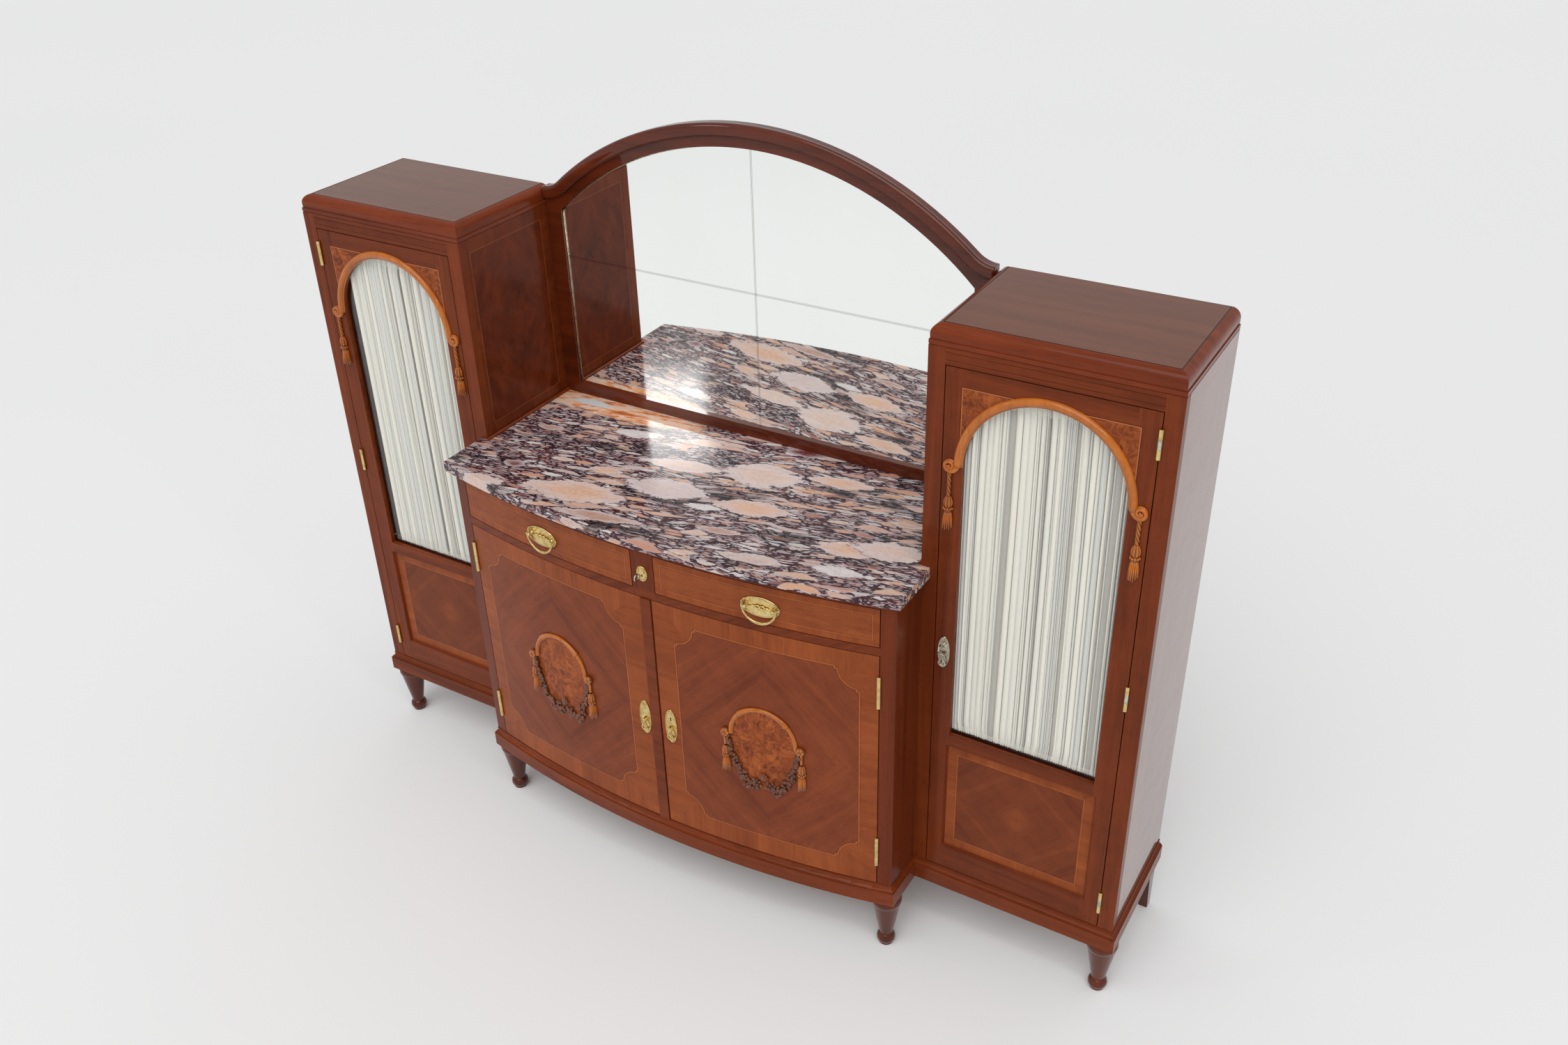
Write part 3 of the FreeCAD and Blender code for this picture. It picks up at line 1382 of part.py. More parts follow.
def export_case():
    export("tower_outer_sides", both_sides([tower_outer_side()]))
    export("tower_inner_sides", both_sides([tower_inner_side()]))
    export("tower_tops", both_sides([tower_top()]))
    export("tower_bottoms", both_sides([tower_bottom()]))
    export("tower_shelves", both_sides(tower_shelves()))
    export("tower_face_frames", both_sides(tower_face_frame()))
    export("back_panels", back_panels())
    export("corner_posts", both_sides([corner_post()]))
    export("centre_side_boards", both_sides([centre_side_board()]))
    export("centre_boards", centre_boards())
    export("front_rails", front_rails())
    export("marble_top", [marble_top()])
    export("marble_beads", both_sides([marble_bead()]))
    export("case_hinge_leaves", case_hinge_leaves())


def export_base_and_mirror():
    export("plinth", plinth())
    export("centre_plinth_front", [centre_plinth()])
    feet = [turned_foot(foot_centre_x, foot_centre_y), turned_foot(centre_foot_x, centre_foot_y)]
    export("turned_feet", both_sides(feet))
    legs = [square_leg(tower_outer_x, 1), square_leg(tower_inner_x, -1)]
    export("rear_legs", both_sides(legs))
    export("mirror_frame", [mirror_frame()])
    export("mirror_panes", mirror_panes())
    export("mirror_backboard", [mirror_backboard()])


def export_centre_lock():
    export("centre_lock", [escutcheon(), centre_lock_case()])
    export("centre_key", [centre_key()])
    export("centre_right_bolt", [centre_bolt()])
    export("centre_left_bolt", [mirrored(centre_bolt())])


def export_tower_door(side, place, bare_width):
    export(side + "_tower_door_frame", [place(piece) for piece in tower_door_frame()])
    export(side + "_tower_door_panel", [place(tower_door_panel())])
    export(side + "_tower_door_glass", [place(tower_door_glass())])
    export(side + "_tower_curtain", [place(curtain(bare_width))])
    export(side + "_tower_curtain_rods", [place(curtain_rod(z)) for z in rod_heights])
    export(side + "_tower_rope_arch", [place(rope_arch())])
    export(side + "_tower_fittings", [place(piece) for piece in tower_fittings()])
    export(side + "_tower_drop", [place(tower_drop())])


def export_doors():
    export_tower_door("right", lambda shape: shape, 0)
    export_tower_door("left", mirrored, left_curtain_bare_width)
    export("right_tower_key", [tower_key()])
    export("right_tower_bolt", [tower_bolt()])
    export("right_centre_door", [right_centre_door()])
    export("left_centre_door", [left_centre_door()])
    export("left_centre_astragal", [astragal()])
    export("right_centre_wreath", [wreath()])
    export("left_centre_wreath", [mirrored(wreath())])
    right_fittings = [centre_plate(right_centre_plate_x, True), centre_door_lock_case()] + centre_door_leaves()
    export("right_centre_fittings", right_fittings)
    left_leaves = [mirrored(leaf) for leaf in centre_door_leaves()]
    export("left_centre_fittings", [centre_plate(left_centre_plate_x, False)] + left_leaves)
    export("right_centre_drop", [centre_drop(right_centre_plate_x)])
    export("left_centre_drop", [centre_drop(left_centre_plate_x)])


def export_drawers():
    for side, place in (("right", lambda shape: shape), ("left", mirrored)):
        export(side + "_drawer_front", [place(drawer_front())])
        export(side + "_drawer_box", [place(piece) for piece in drawer_box()])
        export(side + "_drawer_plate", [place(pull_plate())])
        export(side + "_drawer_bail", [place(bail())])


export_case()
export_base_and_mirror()
export_centre_lock()
export_doors()
export_drawers()
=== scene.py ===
import bpy
import bmesh
import math
import random
from functools import partialmethod
from mathutils import Matrix, Vector


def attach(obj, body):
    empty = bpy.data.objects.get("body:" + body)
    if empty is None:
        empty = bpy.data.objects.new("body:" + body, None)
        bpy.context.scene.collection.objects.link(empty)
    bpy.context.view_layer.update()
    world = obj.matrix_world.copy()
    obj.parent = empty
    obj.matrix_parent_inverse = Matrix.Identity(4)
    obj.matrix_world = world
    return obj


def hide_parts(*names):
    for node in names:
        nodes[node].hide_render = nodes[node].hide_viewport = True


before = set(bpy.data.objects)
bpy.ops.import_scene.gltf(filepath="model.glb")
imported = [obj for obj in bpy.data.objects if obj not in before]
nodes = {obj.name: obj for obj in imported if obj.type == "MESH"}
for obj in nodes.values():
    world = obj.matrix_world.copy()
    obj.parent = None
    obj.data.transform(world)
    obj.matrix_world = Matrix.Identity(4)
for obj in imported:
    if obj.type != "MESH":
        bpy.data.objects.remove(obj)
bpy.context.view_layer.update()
chance = random.Random(7)

# The cabinet's lengths in metres, in the row frame: x right, y back, z up.
FRONT_Y = -0.0575
DOOR_X = 0.7935
SPRING_Z = 1.226
ROPE_R = 0.1675
SCROLL_X = 0.1825
BOW_R = 2.5
BOW_Y = FRONT_Y + 2.325
CREST_Y = FRONT_Y - 0.175
WREATH_X = 0.2735
WREATH_Z = 0.539
DOOR_MIDDLE_Z = 0.521
PULL_X = 0.28
PULL_Z = 0.890
TOWER_OUT = 1.0275
TOWER_IN = 0.5785
MIRROR_Z = 0.918
MIRROR_R = 0.776
SIGHT_R = 0.739
PANE_Z = 1.337
SIDES = {"left": -1, "right": 1}


# Node laying

VALUE, COLOR, VECTOR = "NodeSocketFloat", "NodeSocketColor", "NodeSocketVector"


class Bench:
    """Holds the node tree that is being laid; new_group and new_material change it."""

    tree = None


def plug(value, socket):
    if isinstance(value, Flow):
        value = value.socket
    if isinstance(value, bpy.types.NodeSocket):
        Bench.tree.links.new(value, socket)
    else:
        socket.default_value = value


def fill(node, inputs):
    for name, value in inputs.items():
        plug(value, node.inputs[name])


def lay(kind, inputs=None, **settings):
    node = Bench.tree.nodes.new(kind)
    for name, value in settings.items():
        setattr(node, name, value)
    fill(node, inputs or {})
    return node


class Flow:
    """A number that varies over a surface; arithmetic on it lays Math nodes, and held keeps it in 0 to 1."""

    def __init__(self, socket):
        self.socket = socket

    def math(self, operation, *others, clamp=False):
        inputs = dict(enumerate((self,) + others))
        return Flow(lay("ShaderNodeMath", inputs, operation=operation, use_clamp=clamp).outputs[0])

    __add__ = partialmethod(math, "ADD")
    __sub__ = partialmethod(math, "SUBTRACT")
    __mul__ = partialmethod(math, "MULTIPLY")
    __truediv__ = partialmethod(math, "DIVIDE")
    __abs__ = partialmethod(math, "ABSOLUTE")
    root = partialmethod(math, "SQRT")
    most = partialmethod(math, "MAXIMUM")
    held = partialmethod(math, "MAXIMUM", 0.0, clamp=True)
    below = partialmethod(math, "LESS_THAN")
    above = partialmethod(math, "GREATER_THAN")

    def no(self):
        return self * -1.0 + 1.0


def vector(x, y, z):
    return lay("ShaderNodeCombineXYZ", {0: x, 1: y, 2: z}).outputs[0]


def split(value, kind="XYZ"):
    """The three numbers of a place, or of a colour."""
    return [Flow(socket) for socket in lay("ShaderNodeSeparate" + kind, {0: value}).outputs]


def vector_math(operation, a, b):
    return lay("ShaderNodeVectorMath", {0: a, 1: b}, operation=operation).outputs[0]


def stretch(place, x, y, z):
    return vector_math("MULTIPLY", place, (x, y, z))


def warp(place, scale, push):
    """The place pushed about by the colours of a noise."""
    drift = lay("ShaderNodeTexNoise", {"Vector": place, "Scale": scale, "Detail": 4.0})
    return vector_math("ADD", place, vector_math("MULTIPLY", drift.outputs["Color"], push))


def noise(place, scale, detail=2.0, roughness=0.5, distortion=0.0):
    return Flow(lay("ShaderNodeTexNoise", {"Vector": place, "Scale": scale, "Detail": detail, "Roughness": roughness,
                                           "Distortion": distortion}).outputs["Fac"])


def long_noise(place, along, across, detail, roughness=0.5, distortion=0.0):
    """Noise drawn out along x."""
    return noise(stretch(place, along, across, across), 1.0, detail, roughness, distortion)


def mix(factor, a, b):
    return lay("ShaderNodeMix", {0: factor, 6: a, 7: b}, data_type="RGBA").outputs[2]


def grain_vector(mask, u, v, depth):
    """A place whose x runs along u where the mask is 0, and along v where it is 1."""
    return vector(u * mask.no() + v * mask, v * mask.no() + u * mask, depth)


def ramp(factor, stops):
    """A colour that goes through the (place, colour) stops."""
    node = lay("ShaderNodeValToRGB", {0: factor})
    elements = node.color_ramp.elements
    while len(elements) < len(stops):
        elements.new(0.5)
    for element, (place, colour) in zip(elements, stops):
        element.position = place
        element.color = colour
    return node.outputs[0]


def slope(factor, low, high, start=0.0, end=1.0):
    """From start to end while the factor goes from low to high."""
    return Flow(ramp(factor, [(low, (start, start, start, 1)), (high, (end, end, end, 1))]))


def thin_line(distance, half_width):
    return abs(distance).below(half_width)


def length(u, v):
    return (u * u + v * v).root()


def attribute(name):
    return Flow(lay("ShaderNodeAttribute", attribute_name=name).outputs["Fac"])


def rgb(r, g, b):
    """Linear colour from the 0 to 255 values of a screen."""
    def linear(value):
        value /= 255
        return value / 12.92 if value <= 0.04045 else ((value + 0.055) / 1.055) ** 2.4
    return (linear(r), linear(g), linear(b), 1.0)


def new_group(name, inputs, outputs):
    """A shader node group, what it is given and its output node, from the kinds of its named sockets."""
    group = bpy.data.node_groups.new(name, "ShaderNodeTree")
    for way, sockets in (("INPUT", inputs), ("OUTPUT", outputs)):
        for label, kind in sockets.items():
            group.interface.new_socket(label, in_out=way, socket_type=kind)
    Bench.tree = group
    return group, lay("NodeGroupInput").outputs, lay("NodeGroupOutput")


def use_group(group, inputs):
    return lay("ShaderNodeGroup", inputs, node_tree=group).outputs


# Shared surface effects

def make_grain_group():
    """Straight-grained polished wood; the grain runs along the vector's x."""
    group, given, out = new_group("wood_grain", {"Grain": VECTOR, "Pale": COLOR, "Deep": COLOR, "Figure": VALUE},
                                  {"Color": COLOR, "Height": VALUE, "Roughness": VALUE})
    grain = given["Grain"]
    streaks = long_noise(grain, 1.6, 34.0, 4.0, 0.6, 0.5)
    bands = long_noise(grain, 0.7, 7.0, 3.0, 0.5, 0.8)
    ribbon = long_noise(grain, 26.0, 9.0, 2.0, 0.5, 0.2)
    pores = slope(long_noise(grain, 26.0, 620.0, 1.0), 0.30, 0.44, 1.0, 0.0)
    tone = slope(streaks * 0.62 + bands * 0.38, 0.30, 0.72) + (ribbon - 0.5) * Flow(given["Figure"])
    wood = mix(tone.held(), given["Deep"], given["Pale"])
    fill(out, {"Color": mix(pores * 0.26, wood, rgb(48, 18, 12)), "Height": streaks * 0.6 - pores * 0.2,
               "Roughness": ribbon * 0.12 + 0.24})
    return group


def make_burl_group():
    """Burl veneer: swirling figure with small dark eyes."""
    group, given, out = new_group("burl_figure", {"Place": VECTOR}, {"Color": COLOR})
    swirled = warp(given["Place"], 16.0, (0.10, 0.10, 0.10))
    cloud = noise(swirled, 42.0, 6.0, 0.65, 1.4)
    eyes = lay("ShaderNodeTexVoronoi", {"Vector": swirled, "Scale": 95.0})
    dots = slope(eyes.outputs["Distance"], 0.10, 0.26, 1.0, 0.0)
    spots = dots * noise(given["Place"], 24.0, 1.0).above(0.52)
    colour = ramp(cloud, [(0.30, rgb(92, 38, 18)), (0.50, rgb(144, 70, 32)), (0.68, rgb(176, 96, 46))])
    fill(out, {"Color": mix(spots * 0.75, colour, rgb(70, 28, 16))})
    return group


def make_stone_group():
    """One size of angular stone pieces: how far a point is inside its piece, and the piece's number."""
    group, given, out = new_group("stone_pieces", {"Place": VECTOR, "Scale": VALUE, "Gap": VALUE, "Share": VALUE},
                                  {"Mask": VALUE, "Number": VALUE, "Rim": VALUE})
    cells = {"Vector": given["Place"], "Scale": given["Scale"], "Randomness": 1.0}
    edge = lay("ShaderNodeTexVoronoi", cells, feature="DISTANCE_TO_EDGE")
    red, green, blue = split(lay("ShaderNodeTexVoronoi", cells).outputs["Color"], "Color")
    ragged = noise(given["Place"], 2.2, 3.0) * 0.12 - 0.06
    inside = Flow(edge.outputs["Distance"]) + ragged - Flow(given["Gap"])
    fill(out, {"Mask": (inside * 30.0).held() * red.below(given["Share"]), "Number": green,
               "Rim": (inside * 6.0).held()})
    return group


def make_lens_group():
    """Large lens-shaped stones: inside or not, how near the heart, the dark line round it and the stone's number."""
    group, given, out = new_group("stone_lens", {"Place": VECTOR, "Reach": VALUE, "Share": VALUE},
                                  {"Mask": VALUE, "Heart": VALUE, "Outline": VALUE, "Number": VALUE})
    cell = lay("ShaderNodeTexVoronoi", {"Vector": given["Place"], "Scale": 1.0, "Randomness": 0.85, "Exponent": 1.35},
               distance="MINKOWSKI")
    red, green, blue = split(cell.outputs["Color"], "Color")
    present = red.below(given["Share"])
    ragged = noise(given["Place"], 3.0, 4.0, 0.6) * 0.26 - 0.13
    inside = Flow(given["Reach"]) * (blue * 0.45 + 0.55) - Flow(cell.outputs["Distance"]) + ragged
    fill(out, {"Mask": (inside * 40.0).held() * present, "Heart": (inside * 4.5).held(),
               "Outline": thin_line(inside, 0.012) * present, "Number": green})
    return group


STONES = [
    [(0.0, rgb(196, 188, 192)), (0.26, rgb(150, 134, 140)), (0.44, rgb(178, 140, 134)), (0.62, rgb(98, 62, 66)),
     (0.80, rgb(206, 200, 202)), (1.0, rgb(92, 84, 90))],
    [(0.0, rgb(208, 202, 204)), (0.30, rgb(160, 136, 138)), (0.50, rgb(192, 146, 130)), (0.68, rgb(100, 56, 58)),
     (0.82, rgb(176, 160, 164)), (1.0, rgb(212, 206, 206))],
    [(0.0, rgb(214, 208, 206)), (0.30, rgb(196, 168, 158)), (0.50, rgb(202, 148, 122)), (0.62, rgb(112, 48, 46)),
     (0.70, rgb(176, 160, 160)), (1.0, rgb(208, 200, 202))],
    [(0.0, rgb(204, 172, 152)), (0.30, rgb(212, 160, 124)), (0.56, rgb(198, 178, 174)), (0.82, rgb(206, 150, 118)),
     (1.0, rgb(176, 134, 130))]]


def make_metal_group():
    """Cast and polished brass: tarnish clouds, fine scratches and a hammered softness."""
    group, given, out = new_group("cast_brass", {"Bright": COLOR, "Dull": COLOR},
                                  {"Color": COLOR, "Roughness": VALUE, "Height": VALUE})
    place = lay("ShaderNodeTexCoord").outputs["Object"]
    cloud = noise(place, 90.0, 4.0, 0.6)
    speck = noise(place, 900.0, 3.0, 0.6)
    scratch = noise(stretch(place, 200.0, 200.0, 3600.0), 1.0, 2.0)
    dirt = slope(cloud, 0.38, 0.66)
    fill(out, {"Color": mix(dirt * 0.55 + speck * 0.15, given["Bright"], given["Dull"]),
               "Roughness": dirt * 0.16 + scratch * 0.12 + 0.14, "Height": speck * 0.5 + scratch * 0.3 + cloud})
    return group


grain_group = make_grain_group()
burl_group = make_burl_group()
stone_group = make_stone_group()
lens_group = make_lens_group()
metal_group = make_metal_group()


# Materials

def new_material(name):
    """A material on the bench, its shader, the place in the row frame, and that place's x, y and z."""
    material = bpy.data.materials.new(name)
    material.use_nodes = True
    Bench.tree = material.node_tree
    place = lay("ShaderNodeTexCoord").outputs["Object"]
    return material, Bench.tree.nodes["Principled BSDF"], place, split(place)


def relief(shader, height, strength, distance=0.0004):
    bump = lay("ShaderNodeBump", {"Height": height, "Strength": strength, "Distance": distance})
    plug(bump.outputs[0], shader.inputs["Normal"])


PALE = rgb(134, 60, 24)
DEEP = rgb(84, 33, 12)
WARM_PALE = rgb(160, 82, 38)
WARM_DEEP = rgb(120, 54, 22)


def grain_node(grain, pale=PALE, deep=DEEP, figure=0.5):
    return use_group(grain_group, {"Grain": grain, "Pale": pale, "Deep": deep, "Figure": figure})


def finish_wood(shader, colour, wood, coat=0.15, bumps=0.0):
    """French polish over the colour."""
    fill(shader, {"Base Color": colour, "Roughness": wood["Roughness"], "Coat Weight": coat, "Coat Roughness": 0.04,
                  "Coat IOR": 1.4, "Specular IOR Level": 0.1})
    if bumps:
        relief(shader, wood["Height"], bumps)


def upright(x, y, z):
    return vector(z, x, y)


def level(x, y, z):
    """Grain along x, and along y on the returns at the cabinet's two ends."""
    return grain_vector(abs(x).above(TOWER_OUT), x, y, z)


def plain_wood(name, grain_of, pale=PALE, deep=DEEP, figure=0.35, coat=0.15):
    """Wood whose grain follows the vector that grain_of makes of x, y and z."""
    material, shader, place, (x, y, z) = new_material(name)
    wood = grain_node(grain_of(x, y, z), pale, deep, figure)
    finish_wood(shader, wood["Color"], wood, coat)
    return material


def tower_top_wood():
    """Tower top: a browner flat field inside a thin dark groove, and a redder moulding round its edges."""
    material, shader, place, (x, y, z) = new_material("tower_top_wood")
    returns = (abs(x).above(TOWER_OUT) + abs(x).below(TOWER_IN)) * y.below(FRONT_Y + 0.020).no()
    edge = grain_node(grain_vector(returns, x, y, z), rgb(136, 58, 24), rgb(88, 32, 11), 0.25)
    field = grain_node(vector(x, y, z), rgb(120, 66, 40), rgb(92, 48, 28), 0.25)
    inset = (abs(abs(x) - 0.793) - 0.214).most(y * -1.0 + FRONT_Y + 0.021)
    level = z.above(1.4985)
    flat = inset.below(0.0) * level
    colour = mix(flat, edge["Color"], field["Color"])
    colour = mix(thin_line(inset - 0.001, 0.0012) * level * 0.9, colour, rgb(48, 20, 10))
    finish_wood(shader, colour, edge, flat * 0.35 + 0.30)
    return material


def door_frame_wood():
    """Tower door: upright stiles, level rails, burl in the arch's corners and a thin line round them."""
    material, shader, place, (x, y, z) = new_material("tower_door_wood")
    u = abs(x) - DOOR_X
    wood = grain_node(grain_vector(abs(u).below(0.158), z, x, y), figure=0.35)
    burl = use_group(burl_group, {"Place": place})["Color"]
    corner = (abs(u) - 0.165).most(z - 1.388).most(z * -1.0 + SPRING_Z)
    front = y.below(FRONT_Y + 0.002)
    above = z.above(SPRING_Z + 0.001)
    colour = mix(corner.below(0.0) * front, wood["Color"], mix(0.13, burl, rgb(60, 24, 14)))
    colour = mix(thin_line(corner, 0.0009) * front * above, colour, rgb(176, 104, 58))
    colour = mix(thin_line(corner - 0.0018, 0.0006) * front * above * 0.8, colour, rgb(60, 24, 14))
    finish_wood(shader, colour, wood)
    return material


def banded_field(name, middle, half, corner=None, oval=None, pale=PALE, deep=DEEP, matched=True, line=0.5,
                 border=(WARM_PALE, WARM_DEEP), side=False):
    """Veneered face: a field, its thin line and a lighter cross-banded border; plain wood on a door's other faces.

    A side's face lies along y. A matched field has its quarters' grain run round the middle in a diamond."""
    material, shader, place, (x, y, z) = new_material(name)
    u = y - middle[0] if side else abs(x) - middle[0]
    v = z - middle[1]
    side_u = abs(u) - half[0]
    side_v = abs(v) - half[1]
    distance = side_u.most(side_v)
    if corner:
        hollow = length(side_u / corner[0], side_v / corner[1]).no() * (sum(corner) / 2)
        step = (side_u * -1.0 - (corner[0] + 0.006)).most(side_v * -1.0 - 0.006)
        step_two = (side_v * -1.0 - (corner[1] + 0.006)).most(side_u * -1.0 - 0.006)
        distance = distance.most(hollow).most(step * -1.0).most(step_two * -1.0)
    grain = vector((abs(u) - abs(v)) * 0.707, (abs(u) + abs(v)) * 0.707, y) if matched else vector(u, v, y)
    field = grain_node(grain, pale, deep, 0.55)
    band = grain_node(grain_vector(side_v.above(side_u), u, v, y), *border, 0.3)
    colour = mix(distance.above(0.0), field["Color"], band["Color"])
    for edge, half_width, tone in ((distance - 0.0022, 0.0010, rgb(196, 116, 62)), (distance, 0.0006, rgb(62, 24, 14)),
                                   (distance - 0.0044, 0.0005, rgb(62, 24, 14))):
        colour = mix(thin_line(edge, half_width) * line, colour, tone)
    if oval:
        colour = mix(oval(u, v), colour, use_group(burl_group, {"Place": place})["Color"])
    if matched:
        joints = (thin_line(u, 0.0004) + thin_line(v, 0.0004)) * distance.below(0.0)
        colour = mix(joints * 0.35, colour, rgb(60, 24, 14))
    if not side:
        facing = split(lay("ShaderNodeTexCoord").outputs["Normal"])[1]
        plain = grain_node(upright(x, y, z) if matched else vector(x, z, y), figure=0.3)
        colour = mix(facing.below(-0.5), plain["Color"], colour)
    finish_wood(shader, colour, field)
    return material


def wreath_oval(u, v):
    """Burl inside the wreath: round above the rope's ends, a longer half oval below."""
    up = v + DOOR_MIDDLE_Z - WREATH_Z
    across = u + 0.005
    above = up.above(0.0)
    disc = (across * across + up * up * 0.92).root().below(0.0785) * above
    low = up / 0.140
    wide = across / 0.0785
    return disc + (low * low + wide * wide).below(1.0) * above.no()


PEACH = rgb(214, 174, 150)
ROSE = rgb(214, 188, 176)
LILAC = rgb(206, 186, 182)
WHITE_STONE = rgb(214, 206, 204)
DULL = rgb(180, 142, 126)
RED_STONE = rgb(112, 54, 54)
# Large stones: middle x and y, half length and half breadth in millimetres, colour.
BIG_STONES = [
    (-226, -151, 123, 43, PEACH), (-59, -48, 99, 40, LILAC), (-81, 56, 100, 27, ROSE), (97, 100, 92, 54, ROSE),
    (150, -31, 85, 33, PEACH), (268, 152, 80, 22, PEACH), (405, -77, 70, 28, PEACH), (422, -157, 56, 18, WHITE_STONE),
    (485, -43, 80, 36, ROSE), (-226, -44, 41, 16, PEACH), (-126, -213, 110, 18, DULL), (-100, 167, 45, 16, PEACH),
    (-267, 129, 58, 18, WHITE_STONE), (130, 234, 46, 18, RED_STONE), (-427, -115, 28, 16, RED_STONE),
    (54, -75, 42, 12, WHITE_STONE), (-461, -209, 74, 21, ROSE), (136, -139, 51, 13, DULL), (-464, 62, 37, 13, DULL)]
# Chips: stretch along and across, gap, share. Lenses: stretch along and across, reach, share, shift.
CHIPS = [(58.0, 270.0, 0.16, 0.78), (33.0, 160.0, 0.14, 0.60), (19.0, 98.0, 0.11, 0.38), (11.5, 60.0, 0.08, 0.20)]
LENSES = [(7.4, 30.0, 0.50, 0.28, 3.3), (4.1, 16.0, 0.56, 0.14, 0.0)]
LIE = math.radians(10)


def marble_stone():
    """Breccia: chips of many sizes lying one way in a net of dark lines, large peach lenses and an orange cloud."""
    material, shader, place, (x, y, z) = new_material("breccia_marble")
    turn = lay("ShaderNodeMapping", {"Vector": place, "Rotation": (0, 0, -LIE)}).outputs[0]
    bent = warp(turn, 6.0, (0.08, 0.035, 0.035))
    region = long_noise(bent, 3.5, 13.0, 4.0, 0.6)
    colour = ramp(region, [(0.30, rgb(20, 22, 25)), (0.44, rgb(44, 32, 40)), (0.58, rgb(72, 38, 44)),
                           (0.74, rgb(38, 33, 40))])
    full = slope(region, 0.34, 0.46, 0.15)
    for (along, across, gap, share), palette in zip(CHIPS, STONES):
        pieces = use_group(stone_group, {"Place": stretch(bent, along, across, across), "Scale": 1.0, "Gap": gap,
                                         "Share": share})
        body = mix(Flow(pieces["Rim"]).no() * 0.35, ramp(pieces["Number"], palette), rgb(186, 174, 176))
        colour = mix(Flow(pieces["Mask"]) * full, colour, body)
    for along, across, reach, share, shift in LENSES:
        spot = lay("ShaderNodeMapping", {"Vector": bent, "Location": (shift, shift, 0.0),
                                         "Scale": (along, across, across)}).outputs[0]
        lens = use_group(lens_group, {"Place": spot, "Reach": reach, "Share": share})
        grain = long_noise(bent, 24.0, 120.0, 5.0, 0.6)
        body = mix(grain * 0.5, ramp(lens["Number"], STONES[3]), rgb(222, 206, 196))
        body = mix(Flow(lens["Heart"]).no() * 0.85, body, rgb(206, 194, 192))
        thread = thin_line(long_noise(bent, 22.0, 60.0, 5.0, 0.7) - 0.5, 0.008)
        body = mix(thread * 0.5, body, rgb(160, 104, 98))
        colour = mix(lens["Mask"], colour, body)
        colour = mix(Flow(lens["Outline"]) * 0.8, colour, rgb(58, 42, 48))
    lie_u, lie_v, _ = split(turn)
    ragged = long_noise(turn, 34.0, 80.0, 6.0, 0.72) * 1.9 - 0.95
    flesh = long_noise(turn, 22.0, 90.0, 6.0, 0.75).math("MULTIPLY_ADD", 3.0, -1.5, clamp=True) * 0.8
    for *lengths, tone in BIG_STONES:
        middle_x, middle_y, long, broad = (length_mm / 1000 for length_mm in lengths)
        middle_u = middle_x * math.cos(LIE) + middle_y * math.sin(LIE)
        middle_v = middle_y * math.cos(LIE) - middle_x * math.sin(LIE)
        du = abs(lie_u - middle_u) / long
        dv = abs(lie_v - middle_v) / broad
        reach = du.math("POWER", 1.4) + dv.math("POWER", 1.6) + ragged
        body = mix(slope(reach, 0.25, 0.95), tone, mix(0.75, tone, rgb(206, 194, 196)))
        body = mix(flesh, body, mix(0.7, tone, rgb(230, 218, 214)))
        colour = mix(thin_line(reach - 1.02, 0.05) * 0.75, colour, rgb(52, 40, 46))
        colour = mix(reach.below(1.0), colour, body)
    thread = thin_line(long_noise(bent, 20.0, 50.0, 5.0, 0.7) - 0.5, 0.006)
    colour = mix(thread * 0.5, colour, rgb(136, 92, 92))
    wander = noise(bent, 16.0, 4.0, 0.6) * 0.9 - 0.45
    cloud = length((x + 0.40) / 0.29, (y - 0.218) / 0.056) + wander
    orange = ramp(long_noise(bent, 14.0, 60.0, 6.0, 0.65),
                  [(0.38, rgb(184, 96, 54)), (0.46, rgb(220, 150, 104)), (0.54, rgb(226, 196, 174)),
                   (0.70, rgb(206, 182, 172))])
    colour = mix(slope(cloud, 0.80, 0.98, 1.0, 0.0), colour, orange)
    eye = length((x + 0.455) / 0.058, (y - 0.212) / 0.016) + wander * 0.4
    colour = mix(slope(eye, 0.75, 1.0, 1.0, 0.0), colour, rgb(198, 202, 204))
    fill(shader, {"Base Color": colour, "Roughness": noise(place, 30.0, 3.0) * 0.06 + 0.08, "Specular IOR Level": 0.22})
    return material


def brass(name, bright, dull):
    material, shader, place, _ = new_material(name)
    metal = use_group(metal_group, {"Bright": bright, "Dull": dull})
    fill(shader, {"Base Color": metal["Color"], "Roughness": metal["Roughness"], "Metallic": 1.0})
    relief(shader, metal["Height"], 0.25, 0.0003)
    return material


def carved_wood(name, pale, deep):
    """Varnished carving: warm tone with random darker patches, fine grain, and painted shade in its hollows."""
    material, shader, place, (x, y, z) = new_material(name)
    wood = grain_node(upright(x, y, z), pale, deep, 0.35)
    patina = slope(noise(place, 55.0, 4.0, 0.6), 0.50, 0.72)
    colour = mix(patina * 0.35, wood["Color"], deep)
    # Painted shade: the carving's hollows are darkened by their groove value.
    colour = mix(attribute("groove") * 0.85, colour, rgb(52, 22, 11))
    finish_wood(shader, colour, wood, 1.0, 0.08)
    return material


